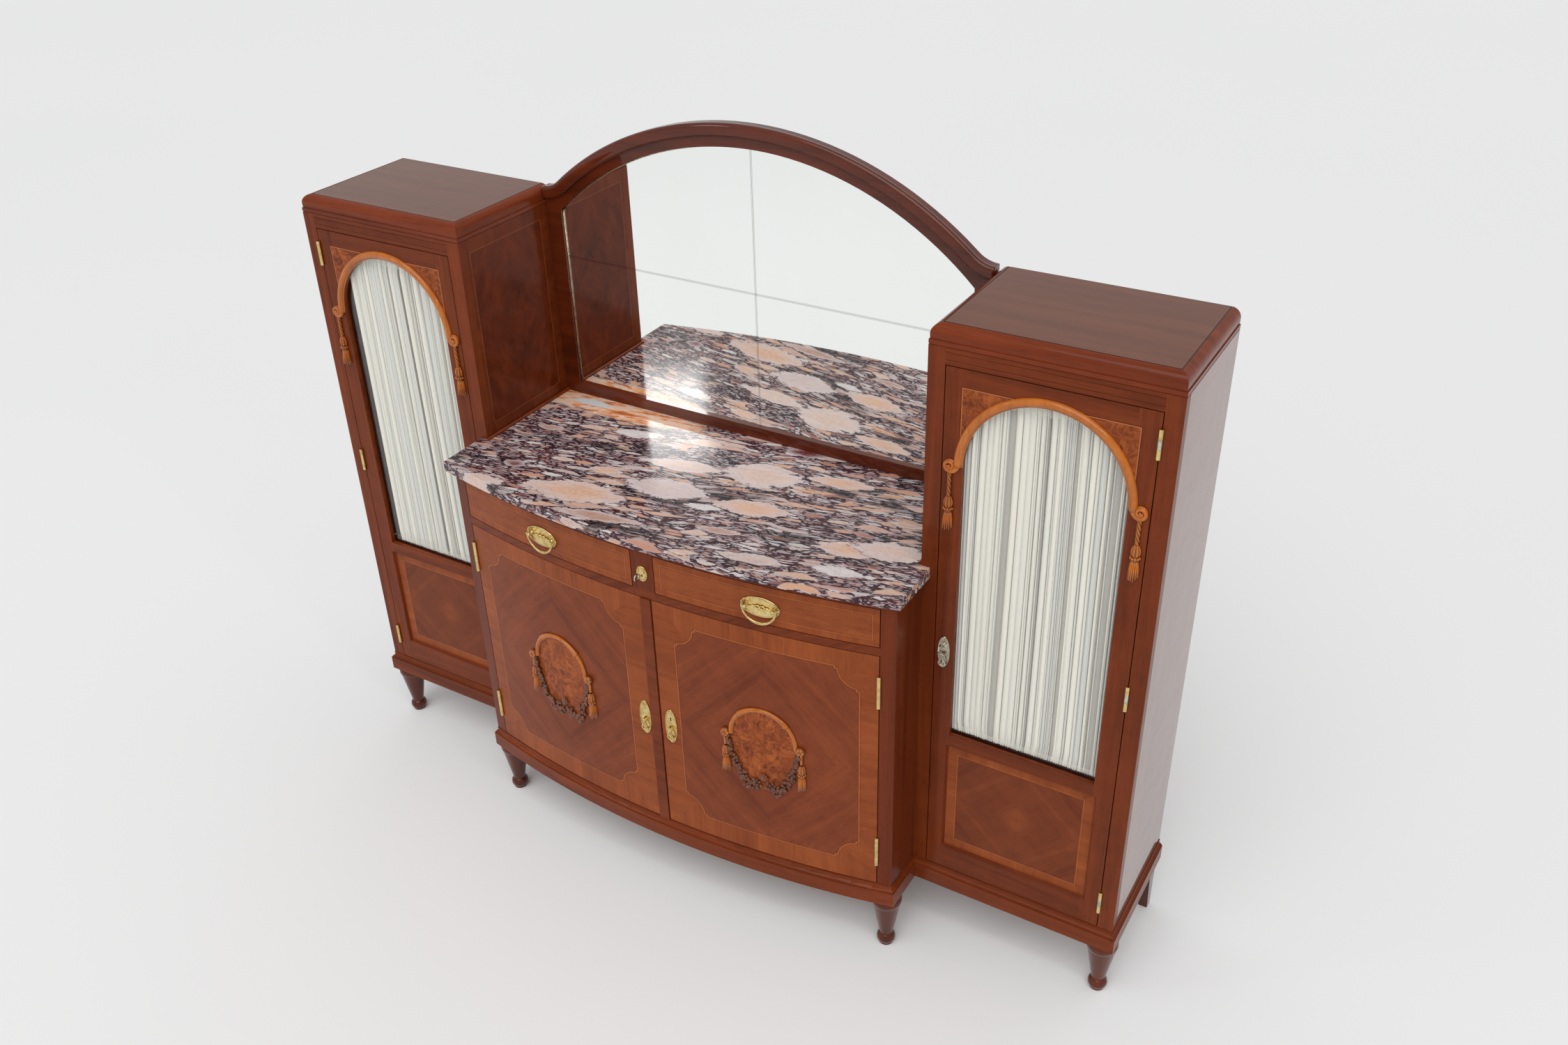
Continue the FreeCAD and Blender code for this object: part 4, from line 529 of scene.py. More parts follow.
def curtain_cloth():
    """Sheer off-white voile with painted shade: cooler and darker along its creases and over some folds, cream on the
    ridges.
    """
    material, shader, place, (x, y, z) = new_material("voile_curtain")
    warp_threads = noise(vector(x * 2600.0, y * 2600.0, z * 12.0), 1.0, 1.0)
    weft_threads = noise(vector(x * 12.0, y * 12.0, z * 2200.0), 1.0, 1.0)
    threads = warp_threads * 0.6 + weft_threads * 0.4
    # The fold value is painted shade: dark along the creases and over the shaded folds.
    fold = attribute("fold")
    colour = ramp(fold, [(0.0, rgb(240, 236, 222)), (0.30, rgb(222, 223, 217)), (0.70, rgb(184, 180, 170)),
                         (1.0, rgb(108, 108, 102))])
    colour = mix(threads.above(0.60) * 0.2, colour, rgb(206, 206, 196))
    scallops = abs((x * 170.0).math("SINE")) * 0.005
    header = (z - scallops).above(1.3555) + z.below(0.6000)
    colour = mix(header * 0.6, colour, rgb(243, 241, 228))
    solid = (fold * -0.20 + threads * 0.06 + 0.95).math("MINIMUM", 1.0, clamp=True)
    fill(shader, {"Base Color": colour, "Roughness": 0.85, "Sheen Weight": 0.2, "Alpha": solid})
    relief(shader, threads, 0.25, 0.0003)
    return material


def window_glass():
    material, shader, place, _ = new_material("door_glass")
    rays = lay("ShaderNodeLightPath").outputs
    passing = Flow(rays["Is Shadow Ray"]).most(rays["Is Diffuse Ray"])
    fill(shader, {"Base Color": (0.99, 0.995, 0.992, 1.0), "Transmission Weight": 1.0, "IOR": 1.45,
                  "Roughness": noise(place, 9.0, 2.0) * 0.02, "Alpha": passing * -0.94 + 1.0})
    relief(shader, noise(place, 5.0, 1.0), 0.03, 0.001)
    return material


def mirror_glass():
    """Old silvered glass in four panes, clear at its middle and faintly clouded."""
    material, shader, place, (x, y, z) = new_material("mirror_silver")
    cloud = noise(place, 3.0, 4.0, 0.6)
    silver = mix(slope(cloud, 0.5, 0.8) * 0.3, rgb(253, 255, 253), rgb(240, 243, 238))
    # The bevels at the panes' joints are painted as darker grey lines, a painted reflection of their facets.
    bevel_reflections = thin_line(abs(x) - 0.0022, 0.0005) + thin_line(abs(z - PANE_Z) - 0.0022, 0.0005)
    fill(shader, {"Base Color": mix(bevel_reflections * 0.55, silver, rgb(138, 146, 142)), "Metallic": 1.0,
                  "Roughness": slope(cloud, 0.55, 0.8) * 0.03 + 0.015})
    return material


def floor_paint():
    material, shader, place, _ = new_material("studio_floor")
    fill(shader, {"Base Color": mix(noise(place, 0.35, 2.0), rgb(236, 237, 237), rgb(240, 240, 240)), "Roughness": 0.9,
                  "Specular IOR Level": 0.1})
    return material


def dress_cad_nodes():
    """A material for every CAD node; the ones that scene pieces share are returned."""
    side = plain_wood("side_wood", upright, rgb(130, 64, 34), rgb(90, 40, 20), 0.2, 1.0)
    post = plain_wood("post_wood", upright, rgb(122, 52, 20), rgb(80, 30, 10), 0.12)
    dark = plain_wood("foot_wood", upright, rgb(108, 46, 22), rgb(58, 22, 10), 0.3, 0.7)
    rail = plain_wood("rail_wood", level, rgb(136, 62, 27), rgb(88, 34, 12), 0.25)
    board = plain_wood("inside_wood", level, rgb(134, 84, 54), rgb(92, 52, 32), 0.2, 0.2)
    moulding = plain_wood("mirror_frame_wood", level, rgb(112, 44, 18), rgb(62, 22, 8), 0.2, 0.9)
    inner = banded_field("inner_side_veneer", (0.095, 1.222), (0.118, 0.205), side=True, line=0.25,
                         pale=rgb(120, 50, 20), deep=rgb(70, 25, 9), border=(rgb(126, 56, 24), rgb(84, 33, 12)))
    faces = plain_wood("face_frame_wood", lambda x, y, z: grain_vector(
        abs(abs(x) - DOOR_X).below(0.2009) * (z.above(1.4270) + z.below(0.2036)), z, x, y))
    rails = plain_wood("front_rail_wood", lambda x, y, z: grain_vector(
        abs(x).above(0.028) + z.above(0.942) + z.below(0.848), z, x, y))
    panel = banded_field("tower_panel_veneer", (DOOR_X, 0.409), (0.138, 0.118), line=0.25,
                         pale=rgb(138, 68, 34), deep=rgb(98, 42, 20))
    centre = banded_field("centre_door_veneer", (0.2785, DOOR_MIDDLE_Z), (0.2085, 0.261), (0.047, 0.050), wreath_oval,
                          rgb(146, 72, 38), rgb(104, 46, 24), line=0.45)
    drawer = banded_field("drawer_veneer", (0.2795, 0.895), (0.2325, 0.028), matched=False, line=0.3,
                          pale=rgb(158, 82, 40), deep=rgb(120, 56, 26))
    yellow = brass("lacquered_brass", rgb(232, 208, 146), rgb(176, 142, 78))
    pale = brass("silvered_brass", rgb(214, 208, 190), rgb(140, 132, 108))
    cloth = curtain_cloth()
    honey = carved_wood("honey_carving", rgb(206, 120, 38), rgb(160, 80, 22))
    for material, names in (
            (board, "tower_bottoms tower_shelves back_panels centre_boards mirror_backboard each_drawer_box"),
            (rail, "plinth centre_plinth_front marble_beads left_centre_astragal"),
            (post, "corner_posts centre_side_boards"), (dark, "turned_feet rear_legs"),
            (side, "tower_outer_sides"), (inner, "tower_inner_sides"), (tower_top_wood(), "tower_tops"),
            (faces, "tower_face_frames"), (rails, "front_rails"), (moulding, "mirror_frame"),
            (door_frame_wood(), "each_tower_door_frame"), (panel, "each_tower_door_panel"),
            (centre, "each_centre_door"), (drawer, "each_drawer_front"), (marble_stone(), "marble_top"),
            (mirror_glass(), "mirror_panes"), (window_glass(), "each_tower_door_glass"),
            (cloth, "each_tower_curtain"), (honey, "each_tower_rope_arch each_centre_wreath"),
            (pale, "centre_key right_tower_key right_tower_fittings right_tower_drop"),
            (yellow, "case_hinge_leaves centre_lock centre_left_bolt centre_right_bolt right_tower_bolt"
                     " left_tower_fittings left_tower_drop each_tower_curtain_rods each_centre_fittings"
                     " each_centre_drop each_drawer_plate each_drawer_bail")):
        for name in names.split():
            for one_side in SIDES:
                mesh = nodes[name.replace("each", one_side)].data
                mesh.materials.clear()
                mesh.materials.append(material)
    return {"honey": honey, "cloth": cloth, "brass": yellow, "pale": pale, "moulding": moulding,
            "patina": carved_wood("garland_patina", rgb(146, 84, 54), rgb(84, 46, 32)),
            "gilt": brass("gilt_edge", rgb(196, 178, 146), rgb(120, 98, 70))}


# Modelling

FORWARD = Vector((0.0, -1.0, 0.0))


def circle(sides, start=0.0):
    """(cosine, sine) of evenly spaced angles."""
    angles = [math.tau * i / sides + start for i in range(sides)]
    return [(math.cos(angle), math.sin(angle)) for angle in angles]


ROUND = circle(10)


def lobed(count, depth, sides):
    """A round outline of unit size with rounded lobes."""
    points = []
    for i in range(sides):
        angle = math.tau * i / sides
        size = 1.0 - depth + depth * abs(math.cos(count * angle / 2)) ** 0.7
        points.append((size * math.cos(angle), size * math.sin(angle)))
    return points


def placed(place, sizes, turn=0.0, axis="Z"):
    """Sized, then turned, then moved to its place."""
    return Matrix.Translation(place) @ Matrix.Rotation(turn, 4, axis) @ Matrix.Diagonal((*sizes, 1.0))


def hollow_shade_layer(bm):
    """How deep in a hollow of the carving each point lies, 0 to 1; the carving's material paints shade by it."""
    return bm.verts.layers.float.get("groove") or bm.verts.layers.float.new("groove")


def sweep(bm, outline, stations, groove=None):
    """A ring of the outline's shape drawn out through all the stations and filled at both ends."""
    layer = hollow_shade_layer(bm)
    ring = bmesh.ops.create_circle(bm, segments=len(outline), radius=1.0)["verts"]
    for vert, (a, b) in zip(ring, outline):
        vert.co = stations[0] @ Vector((a, b, 0.0))
        # Painted shade: the valleys of a lobed outline are darkened, unless a groove value is given.
        vert[layer] = min(1.0, max(0.0, (1.0 - math.hypot(a, b)) * 2.8)) if groove is None else groove
    edges = list(dict.fromkeys(edge for vert in ring for edge in vert.link_edges))
    first = edges
    for last, following in zip(stations, stations[1:]):
        made = bmesh.ops.extrude_edge_only(bm, edges=edges)["geom"]
        verts = {part for part in made if isinstance(part, bmesh.types.BMVert)}
        edges = [part for part in made if isinstance(part, bmesh.types.BMEdge) and verts.issuperset(part.verts)]
        bmesh.ops.transform(bm, matrix=following @ last.inverted(), verts=list(verts))
    bmesh.ops.edgeloop_fill(bm, edges=first)
    bmesh.ops.edgeloop_fill(bm, edges=edges)


def tube(bm, path, sizes, outline=ROUND, outward=FORWARD, turns=0.0):
    """An outline carried along a path, its y axis turned outward, while its size goes evenly through sizes."""
    stations = []
    count = len(path) - 1
    for i, place in enumerate(path):
        along = (path[min(i + 1, count)] - path[max(i - 1, 0)]).normalized()
        side = outward.cross(along).normalized()
        axes = Matrix((side, along.cross(side), along)).transposed().to_4x4()
        share = i / count * (len(sizes) - 1)
        low = min(int(share), len(sizes) - 2)
        size = sizes[low] + (sizes[low + 1] - sizes[low]) * (share - low)
        turn = Matrix.Rotation(turns * math.tau * i / count, 4, "Z")
        stations.append(Matrix.Translation(place) @ axes @ turn @ Matrix.Diagonal((size, size, 1.0, 1.0)))
    sweep(bm, outline, stations)


def turned(bm, x, y, levels, outline, groove=None):
    """An upright spindle from (z, radius, turn) levels."""
    sweep(bm, outline, [placed((x, y, z), (radius, radius, 1.0), turn) for z, radius, turn in levels], groove)


def oval(bm, centre, levels, sides=56):
    """A flat oval moulding from (half width, half height, distance in front of centre) levels."""
    x, y, z = centre
    sweep(bm, circle(sides), [placed((x, y - out, z), (width, height, 1.0), math.radians(90), "X")
                              for width, height, out in levels])


def ball(bm, place, sizes, turn=0.0, groove=0.0):
    """A small rounded bud or leaf; turn leans it in the face's plane, and groove gives it painted shade."""
    layer = hollow_shade_layer(bm)
    made = bmesh.ops.create_uvsphere(bm, u_segments=8, v_segments=6, radius=1.0, matrix=placed(place, sizes, turn, "Y"))
    if groove:
        for vert in made["verts"]:
            vert[layer] = groove


def arc(centre, radius, start, end, count, radius_z=None):
    """Points of an arc in the face's plane, angles in degrees from the right."""
    points = []
    for i in range(count + 1):
        angle = math.radians(start + (end - start) * i / count)
        points.append(Vector((centre[0] + radius * math.cos(angle), centre[1],
                              centre[2] + (radius_z or radius) * math.sin(angle))))
    return points


def onto_bow(bm, x):
    """Turn work made at the middle of the bow round to its place at x."""
    turn = Matrix.Rotation(math.asin(x / BOW_R), 3, "Z")
    bmesh.ops.rotate(bm, cent=(0.0, BOW_Y, 0.0), matrix=turn, verts=bm.verts)


def finish_piece(name, bm, material, body, node=None):
    """Make the object; it rides the body, and takes the node's place if one is given."""
    bmesh.ops.recalc_face_normals(bm, faces=bm.faces)
    mesh = bpy.data.meshes.new(name)
    bm.to_mesh(mesh)
    bm.free()
    for polygon in mesh.polygons:
        polygon.use_smooth = True
    mesh.materials.append(material)
    piece = bpy.data.objects.new(name, mesh)
    bpy.context.scene.collection.objects.link(piece)
    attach(piece, body)
    if node:
        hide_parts(node)
    return piece


def tassel(bm, x, y, top, cord, size, twisted):
    """Cord, gadrooned bell, a row of beads and a skirt of strands."""
    bell = top - cord
    # The valleys of the twisted cord and of the bell, and the core among the strands, get painted shade.
    if twisted:
        levels = [(top - cord * i / 24, 0.0042 * size, i * 0.42) for i in range(25)]
        turned(bm, x, y, levels, lobed(3, 0.42, 24))
    else:
        for i in range(5):
            ball(bm, (x, y - 0.001, top - cord * (i + 0.7) / 6), (0.0036 * size, 0.0036 * size, 0.0046 * size))
    shape = [(0.0, 0.42), (0.002, 0.62), (0.007, 0.86), (0.013, 0.98), (0.019, 0.90), (0.0235, 0.70)]
    turned(bm, x, y, [(bell - drop * size, share * 0.0098 * size, 0.0) for drop, share in shape], lobed(7, 0.34, 42))
    for c, s in circle(10):
        ball(bm, (x + 0.0082 * size * c, y + 0.0082 * size * s, bell - 0.0262 * size), (0.0024 * size,) * 3)

    def core(levels, groove):
        turned(bm, x, y, [(bell - drop * size, radius * size, 0.0) for drop, radius in levels], ROUND, groove)

    # Painted shade on the core where it stands among the strands.
    core(((0.022, 0.006), (0.030, 0.0066), (0.034, 0.0075)), 0.8)
    for c, s in circle(14, 0.1):
        fall = (0.066 + 0.007 * chance.random()) * size
        out = Vector((c, s, 0.0))
        strand = [Vector((x, y, bell - drop)) + out * reach * size
                  for drop, reach in ((0.031 * size, 0.0056), (0.050 * size, 0.0078), (fall, 0.0092))]
        tube(bm, strand, [0.0014 * size, 0.0018 * size, 0.0011 * size], ROUND[::2], outward=out)
    core(((0.033, 0.0052), (0.052, 0.0066), (0.064, 0.0072)), 1.0)


# Section of the carved bands, in millimetres.
BAND = [(-9.6, -0.4), (-9.6, 1.5), (-9.0, 2.3), (-8.1, 2.3), (-7.4, 1.3), (-7.0, 2.8), (-5.6, 5.2), (-3.2, 7.2),
        (0.0, 8.2), (3.2, 7.8), (6.0, 6.0), (7.8, 3.4), (8.5, 0.9), (8.5, -0.4)]


def rope_arch(side, material):
    """Smooth rounded band over the glass, rolled into a scroll at each end with a tassel under it."""
    bm = bmesh.new()
    centre = (SIDES[side] * DOOR_X, FRONT_Y, SPRING_Z)
    tube(bm, arc(centre, ROPE_R, 180, 0, 72), [0.001, 0.001], BAND)
    for hand in (-1, 1):
        eye = Vector((centre[0] + hand * SCROLL_X, FRONT_Y, SPRING_Z))
        path = []
        for i in range(45):
            share = i / 44
            angle = math.pi + math.tau * 1.55 * share
            reach = 0.0138 - 0.0108 * share ** 0.85
            rise = 0.0024 + 0.0042 * share
            path.append(eye + Vector((hand * reach * math.cos(angle), -rise, reach * math.sin(angle))))
        tube(bm, path, [0.0056, 0.0040, 0.0030, 0.0022])
        ball(bm, eye + FORWARD * 0.0068, (0.0030, 0.0026, 0.0030))
        oval(bm, eye, [(0.0125, 0.0125, -0.0004), (0.0125, 0.0125, 0.0022), (0.0005, 0.0005, 0.0034)], 24)
        tassel(bm, eye.x, FRONT_Y - 0.003, SPRING_Z - 0.008, 0.058, 1.0, True)
    finish_piece(side + "_rope_band", bm, material, side + "_tower_door", side + "_tower_rope_arch")


# The garland's run as (distance from the middle, height), and the ring's half width and half height.
GARLAND = [(0.084, 0.528), (0.080, 0.506), (0.076, 0.486), (0.070, 0.467), (0.063, 0.449), (0.054, 0.431),
           (0.045, 0.416), (0.036, 0.405), (0.025, 0.404), (0.016, 0.413), (0.011, 0.421)]
RING = (0.0770, 0.0810)


def wreath(side, material, patina):
    """Half ring with two ribbon turns, knobs and tassels, and a garland of small leaves and buds below."""
    x = SIDES[side] * WREATH_X
    body = side + "_centre_door"
    bm = bmesh.new()
    hub = (0.0, CREST_Y - 0.0004, WREATH_Z)
    outline = [(a, max(b, -1.2)) for a, b in BAND]
    for start, end in ((182, 130), (48, -2)):
        tube(bm, arc(hub, RING[0], start, end, 20, RING[1]), [0.00064, 0.00057, 0.00064], outline)
    middle = [place + FORWARD * 0.0012 for place in arc(hub, RING[0], 136, 42, 36, RING[1])]
    tube(bm, middle, [0.00082, 0.00063, 0.00061, 0.00063, 0.00082], outline)
    for angle in (134, 44):
        place = arc(hub, RING[0], angle, 0, 1, RING[1])[0] + FORWARD * 0.004
        ball(bm, place, (0.0024, 0.0040, 0.0076), math.radians(90 - angle + 24))
    for hand in (-1, 1):
        knob = Vector((hand * 0.0890, CREST_Y, WREATH_Z - 0.001))
        # The knob's base ball, under its petals, gets painted shade.
        ball(bm, knob + FORWARD * 0.003, (0.0114, 0.0080, 0.0114), 0.0, 0.8)
        for c, s in circle(6):
            ball(bm, knob + Vector((c * 0.0060, -0.0064, s * 0.0060)), (0.0043, 0.0040, 0.0043))
        ball(bm, knob + FORWARD * 0.0105, (0.0026, 0.0020, 0.0026))
        tassel(bm, hand * 0.0905, CREST_Y - 0.0015, WREATH_Z - 0.010, 0.030, 0.96, False)
    onto_bow(bm, x)
    finish_piece(side + "_wreath_ring", bm, material, body, side + "_centre_wreath")
    bm = bmesh.new()
    for hand in (-1, 1):
        for (u0, z0), (u1, z1) in zip(GARLAND, GARLAND[1:]):
            for share in (0.0, 0.5):
                u = u0 + (u1 - u0) * share
                z = z0 + (z1 - z0) * share
                wide = 0.0042 + 0.0068 * min(1.0, max(0.0, (0.500 - z) / 0.070))
                for _ in range(6):
                    place = Vector((hand * u + chance.uniform(-wide, wide), CREST_Y - chance.uniform(0.0015, 0.0055),
                                    z + chance.uniform(-wide, wide)))
                    size = chance.uniform(0.0026, 0.0044)
                    long = size * chance.uniform(1.0, 1.6)
                    # Painted shade: buds set further back are darker.
                    depth_shade = 0.7 * (place.y - CREST_Y + 0.0055) / 0.0040
                    ball(bm, place, (size, size * 0.8, long), chance.uniform(0.0, math.pi), depth_shade)
    for ring_size, count, out in ((0.0074, 9, 0.005), (0.0040, 6, 0.0076), (0.0, 1, 0.0096)):
        for c, s in circle(count):
            ball(bm, (ring_size * c, CREST_Y - out, 0.437 + ring_size * s), (0.0031, 0.0022, 0.0031))
    onto_bow(bm, x)
    finish_piece(side + "_wreath_garland", bm, patina, body)


def drawer_pull(side, material):
    """Oval plate with a raised rim and scrolled ends, a ribbon bow across it, and a crescent bail."""
    x = SIDES[side] * PULL_X
    bm = bmesh.new()
    front = CREST_Y - 0.0002
    middle = (0.0, front, PULL_Z)
    oval(bm, middle, [(0.0440, 0.0240, -0.0012), (0.0440, 0.0240, 0.0014), (0.0432, 0.0232, 0.0028),
                      (0.0420, 0.0220, 0.0030), (0.0410, 0.0210, 0.0020), (0.0400, 0.0200, 0.0016),
                      (0.0005, 0.0005, 0.0018)], 72)
    for hand in (-1, 1):
        for reach, thick in ((0.0178, 0.0013), (0.0142, 0.0011)):
            path = arc((hand * 0.0245, front - 0.0028, PULL_Z), reach, 90 - hand * 152, 90 - hand * 28, 22)
            tube(bm, path, [thick * 0.5, thick, thick, thick * 0.5], lobed(2, 0.2, 8), turns=3.0)
        for i in range(7):
            angle = math.radians(-66 + 22 * i)
            across, up = 0.0245 + 0.0160 * math.cos(angle), 0.0160 * math.sin(angle)
            ball(bm, (hand * across, front - 0.0032, PULL_Z + up), (0.0022, 0.0014, 0.0009), -hand * angle)
        post = [(0.0052, 0.0010), (0.0052, 0.0034), (0.0040, 0.0044), (0.0036, 0.0104), (0.0042, 0.0116),
                (0.0034, 0.0132), (0.0008, 0.0140)]
        oval(bm, (hand * 0.0310, front, PULL_Z), [(radius, radius, out) for radius, out in post], 20)
    for hand in (-1, 1):
        tube(bm, arc((hand * 0.0055, front - 0.0040, PULL_Z + 0.0006), 0.0052, 0, 350, 18, 0.0034),
             [0.0012, 0.0016, 0.0012])
        path = [Vector((hand * across, front - out, PULL_Z + up)) for across, out, up in (
            (0.0105, 0.0034, 0.0), (0.0160, 0.0040, 0.0016), (0.0215, 0.0030, -0.0010), (0.0265, 0.0030, 0.0))]
        tube(bm, path, [0.0012, 0.0018, 0.0012, 0.0010])
        ball(bm, (hand * 0.0110, front - 0.0044, PULL_Z), (0.0020, 0.0018, 0.0028))
    ball(bm, (0.0, front - 0.0050, PULL_Z), (0.0030, 0.0026, 0.0024))
    onto_bow(bm, x)
    finish_piece(side + "_pull_plate", bm, material, side + "_drawer", side + "_drawer_plate")
    bm = bmesh.new()
    pivot = CREST_Y - 0.0102
    band = [(-1.0, -0.32), (-0.6, -0.42), (0.6, -0.42), (1.0, -0.32), (1.0, 0.20), (0.5, 0.42), (-0.5, 0.42),
            (-1.0, 0.20)]
    crescent = arc((0.0, pivot, PULL_Z + 0.0030), 0.0380, 184.6, 355.4, 48)
    tube(bm, crescent, [0.0018, 0.0024, 0.0036, 0.0024, 0.0018], band)
    for hand in (-1, 1):
        ball(bm, (hand * 0.0379, pivot, PULL_Z + 0.0002), (0.0024, 0.0026, 0.0028))
        tube(bm, [Vector((hand * reach, pivot, PULL_Z)) for reach in (0.0385, 0.0330, 0.0275)], [0.0019, 0.0019], ROUND)
    onto_bow(bm, x)
    finish_piece(side + "_pull_bail", bm, material, side + "_drawer_bail", side + "_drawer_bail")


def plate_rim(name, body, x, z, half_width, half_height, material, on_bow):
    """Raised rim, a ring of beads and two leaf sprays on an oval lock plate."""
    bm = bmesh.new()
    front = (CREST_Y if on_bow else FRONT_Y) - 0.0020
    middle = (0.0 if on_bow else x, front, z)
    tube(bm, arc(middle, half_width - 0.0013, 0, 359.9, 56, half_height - 0.0013), [0.0012, 0.0012])
    for c, s in circle(36):
        ball(bm, (middle[0] + (half_width - 0.0036) * c, front - 0.0002, z + (half_height - 0.0036) * s), (0.0009,) * 3)
    for hand in (-1, 1):
        for lean in (-38, -19, 0, 19, 38):
            angle = math.radians(lean)
            reach = half_height * 0.66
            leaf = (middle[0] + math.sin(angle) * half_height * 0.14, front - 0.0002,
                    z + hand * (reach + 0.004 * math.cos(angle)))
            ball(bm, leaf, (0.0012, 0.0010, half_height * 0.11), hand * angle)
    if on_bow:
        onto_bow(bm, x)
    finish_piece(name, bm, material, body)


def mirror_nose(material):
    """Rounded nose moulding along the arch of the mirror frame and down its two reversed shoulders."""
    bm = bmesh.new()
    y = FRONT_Y + 0.300
    foot, middle, shoulder = (0.5573, 1.4880), (0.5281, 1.4935), (0.5010, 1.5106)
    lean = math.degrees(math.acos(shoulder[0] / MIRROR_R))
    right = []
    for i in range(10):
        t = i / 10
        parts = ((1 - t) * (1 - 2 * t), 4 * t * (1 - t), t * (2 * t - 1))
        u, z = (sum(part * place[axis] for part, place in zip(parts, (foot, middle, shoulder))) for axis in (0, 1))
        right.append(Vector((u, y, z)))
    left = [Vector((-place.x, y, place.z)) for place in right]
    path = left + arc((0.0, y, MIRROR_Z), MIRROR_R, 180 - lean, lean, 72) + right[::-1]
    section = []
    for i in range(21):
        angle = math.pi * (1 - i / 20)
        across, up = math.cos(angle), math.sin(angle)
        section.append((math.copysign(abs(across) ** 0.70, across) * 14.9, abs(up) ** 0.62 * 11.4 - 0.2))
    tube(bm, path, [0.001, 0.001], section)
    finish_piece("mirror_nose_moulding", bm, material, "case")


def mirror_bead(material):
    """Thin gilt bead round the sight edge of the mirror frame."""
    bm = bmesh.new()
    y = FRONT_Y + 0.3068
    side_x = 0.5140
    low = 1.0140
    spring = MIRROR_Z + math.sqrt(SIGHT_R ** 2 - side_x ** 2)
    lean = math.degrees(math.acos(side_x / SIGHT_R))
    tube(bm, arc((0.0, y, MIRROR_Z), SIGHT_R, 180 - lean, lean, 64), [0.0016, 0.0016])
    for u in (-side_x, side_x):
        tube(bm, [Vector((u, y, low)), Vector((u, y, spring))], [0.0016, 0.0016])
    finish_piece("mirror_gilt_bead", bm, material, "case")


def curtain(side, material):
    """Gathered voile: uneven upright folds that drift a little, with a drawn-up heading and hem."""
    low_x, high_x = (0.6315, 0.9555) if side == "right" else (-0.9355, -0.6315)
    low_z, high_z = 0.5865, 1.3795
    front, back = FRONT_Y + 0.0142, FRONT_Y + 0.0236
    edges = [low_x]
    while edges[-1] < high_x - 0.006:
        edges.append(edges[-1] + chance.choice((0.0032, 0.0042, 0.0055, 0.0075, 0.010, 0.013)))
    edges[-1] = high_x
    folds = [(chance.uniform(0.35, 1.0), chance.uniform(0, math.tau), chance.uniform(2.5, 5.0)) for _ in edges]
    # Painted shade for each fold: some folds darker than others, narrow ones darkest.
    fold_shades = [0.0]
    for low, high in zip(edges, edges[1:]):
        darkest = (0.10, 0.32) if high - low > 0.008 else (0.30, 0.66)
        fold_shades.append(chance.choice((0.0, 0.05) if fold_shades[-1] > 0.25 else (0.05, *darkest)))
    lines = [chance.choice((0.15, 0.35, 0.6, 1.0)) for _ in edges]
    count = 620
    bm = bmesh.new()
    layer = bm.verts.layers.float.new("fold")
    bmesh.ops.create_grid(bm, x_segments=count, y_segments=48, size=0.5)
    fold = 0
    for vert in sorted(bm.verts, key=lambda v: (v.co.x, v.co.y)):
        x = low_x + (vert.co.x + 0.5) * (high_x - low_x)
        z = low_z + (vert.co.y + 0.5) * (high_z - low_z)
        end = min(vert.co.y + 0.5, 0.5 - vert.co.y) * (high_z - low_z)
        while fold < len(edges) - 2 and x > edges[fold + 1] + 1e-9:
            fold += 1
        wide = edges[fold + 1] - edges[fold]
        t = (x - edges[fold]) / wide
        # Painted shade along the crease at each edge of a fold.
        crease_shade = max(0.0, 1.0 - min(t, 1.0 - t) * wide / 0.0013) * lines[fold if t < 0.5 else fold + 1]
        vert[layer] = fold_shades[fold] + (1.0 - fold_shades[fold]) * crease_shade
        depth, phase, pace = folds[fold]
        depth *= 0.86 + 0.14 * math.sin(pace * z + phase)
        loose = min(1.0, end / 0.03)
        ridge = abs(math.sin(math.pi * min(max(t, 0.0), 1.0))) ** 0.55
        y = back - (back - front) * (depth * ridge * (0.35 + 0.65 * loose) + 0.06)
        y += (1.0 - loose) * 0.0014 * math.sin(math.tau * x / 0.0052)
        drift = 0.0034 * math.sin(2.4 * z + 15.0 * x) * loose * min(1.0, (x - low_x) / 0.02, (high_x - x) / 0.02)
        if vert.co.y > 0.4999:
            z += 0.0016 * abs(math.sin(math.tau * x / 0.017)) - 0.0016
        vert.co = (x + drift, min(max(y, front), back), z)
    piece = finish_piece(side + "_voile", bm, material, side + "_tower_door", side + "_tower_curtain")


def build_stage():
    bm = bmesh.new()
    bmesh.ops.create_grid(bm, x_segments=1, y_segments=1, size=40.0)
    mesh = bpy.data.meshes.new("floor")
    bm.to_mesh(mesh)
    bm.free()
    floor = bpy.data.objects.new("floor", mesh)
    bpy.context.scene.collection.objects.link(floor)
    mesh.materials.append(floor_paint())


def area_light(name, place, size, power):
    """A softbox aimed at the cabinet's middle."""
    light = bpy.data.lights.new(name, "AREA")
    light.shape = "RECTANGLE"
    light.size, light.size_y = size
    light.energy = power
    hang(name, light, Vector((0.0, 0.0, 1.0)) - Vector(place), place)


def hang(name, light, direction, place=(0.0, 0.0, 0.0)):
    lamp = bpy.data.objects.new(name, light)
    lamp.location = place
    lamp.rotation_euler = Vector(direction).to_track_quat("-Z", "Y").to_euler()
    bpy.context.scene.collection.objects.link(lamp)


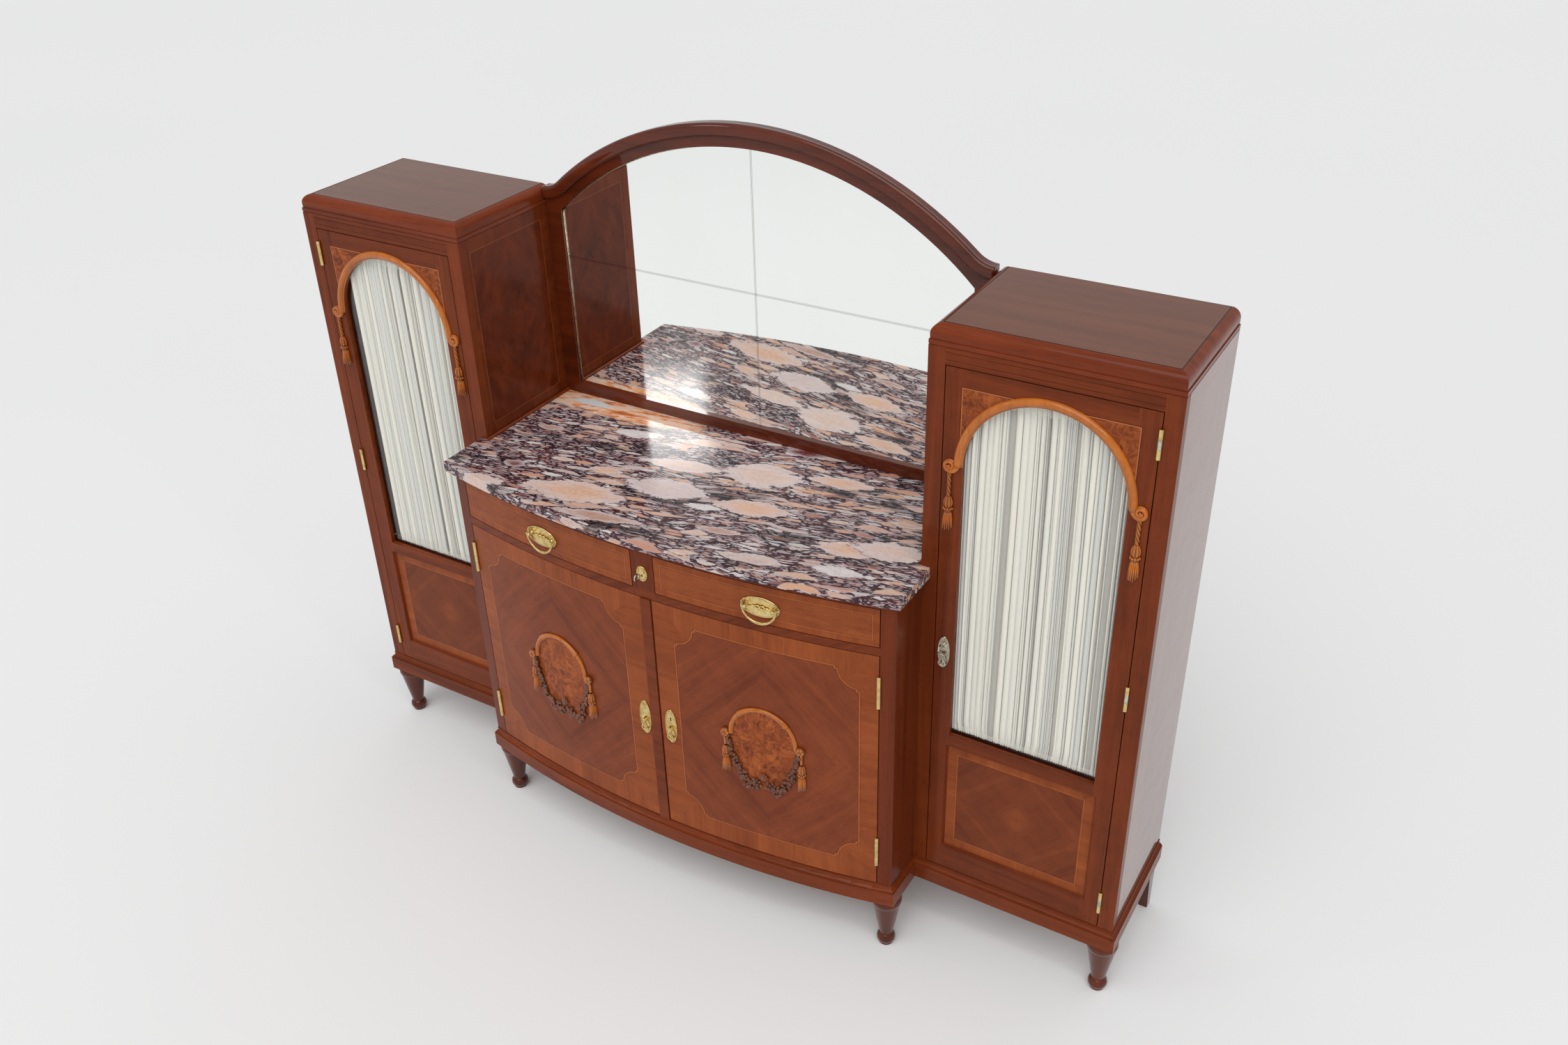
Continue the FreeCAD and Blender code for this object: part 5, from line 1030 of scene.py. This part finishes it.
def light_studio():
    world = bpy.data.worlds.new("studio")
    world.use_nodes = True
    bpy.context.scene.world = world
    sky = world.node_tree.nodes["Background"].inputs
    sky["Color"].default_value = (1.0, 1.0, 1.0, 1.0)
    sky["Strength"].default_value = 0.60
    key = bpy.data.lights.new("key", "SUN")
    key.energy = 1.30
    key.angle = math.radians(50)
    hang("key", key, (-0.15, 0.70, -1.0))
    area_light("left_softbox", (-2.75, -3.05, 3.1), (0.5, 0.5), 8.0)
    area_light("right_softbox", (2.6, -1.2, 3.4), (0.3, 0.4), 7.0)


def place_camera():
    yaw, pitch, roll = 0.5488, -0.55, -0.0283
    forward = Vector((-math.sin(yaw) * math.cos(pitch), math.cos(yaw) * math.cos(pitch), math.sin(pitch)))
    level = forward.cross(Vector((0, 0, 1))).normalized()
    lift = level.cross(forward)
    right = level * math.cos(roll) + lift * math.sin(roll)
    up = lift * math.cos(roll) - level * math.sin(roll)
    data = bpy.data.cameras.new("camera")
    data.lens = 32.09
    data.sensor_width = 36.0
    data.clip_end = 200.0
    camera = bpy.data.objects.new("camera", data)
    turn = Matrix((right, up, -forward)).transposed().to_4x4()
    camera.matrix_world = Matrix.Translation((1.5293, -2.102 + FRONT_Y, 2.5028)) @ turn
    bpy.context.scene.collection.objects.link(camera)
    bpy.context.scene.camera = camera


bpy.context.scene.view_settings.view_transform = "Standard"
place_camera()
build_stage()
light_studio()
finishes = dress_cad_nodes()
for side in SIDES:
    rope_arch(side, finishes["honey"])
    wreath(side, finishes["honey"], finishes["patina"])
    drawer_pull(side, finishes["brass"])
    curtain(side, finishes["cloth"])
for name, body, x, z, half_width, half_height, finish, slot_name, on_bow in (
        ("right_centre", "right_centre_door", 0.043, 0.497, 0.0155, 0.0465, "brass", "brass", True),
        ("left_centre", "left_centre_door", -0.0265, 0.497, 0.0155, 0.0465, "brass", "brass", True),
        ("right_tower", "right_tower_door", 0.6146, 0.795, 0.0135, 0.0375, "pale", "pale_brass", False),
        ("left_tower", "left_tower_door", -0.6146, 0.795, 0.0135, 0.0375, "brass", "brass", False),
        ("centre_escutcheon", "case", 0.0, 0.891, 0.0135, 0.019, "brass", "brass", True)):
    plate_rim(name + "_rim", body, x, z, half_width, half_height, finishes[finish], on_bow)
mirror_bead(finishes["gilt"])
mirror_nose(finishes["moulding"])
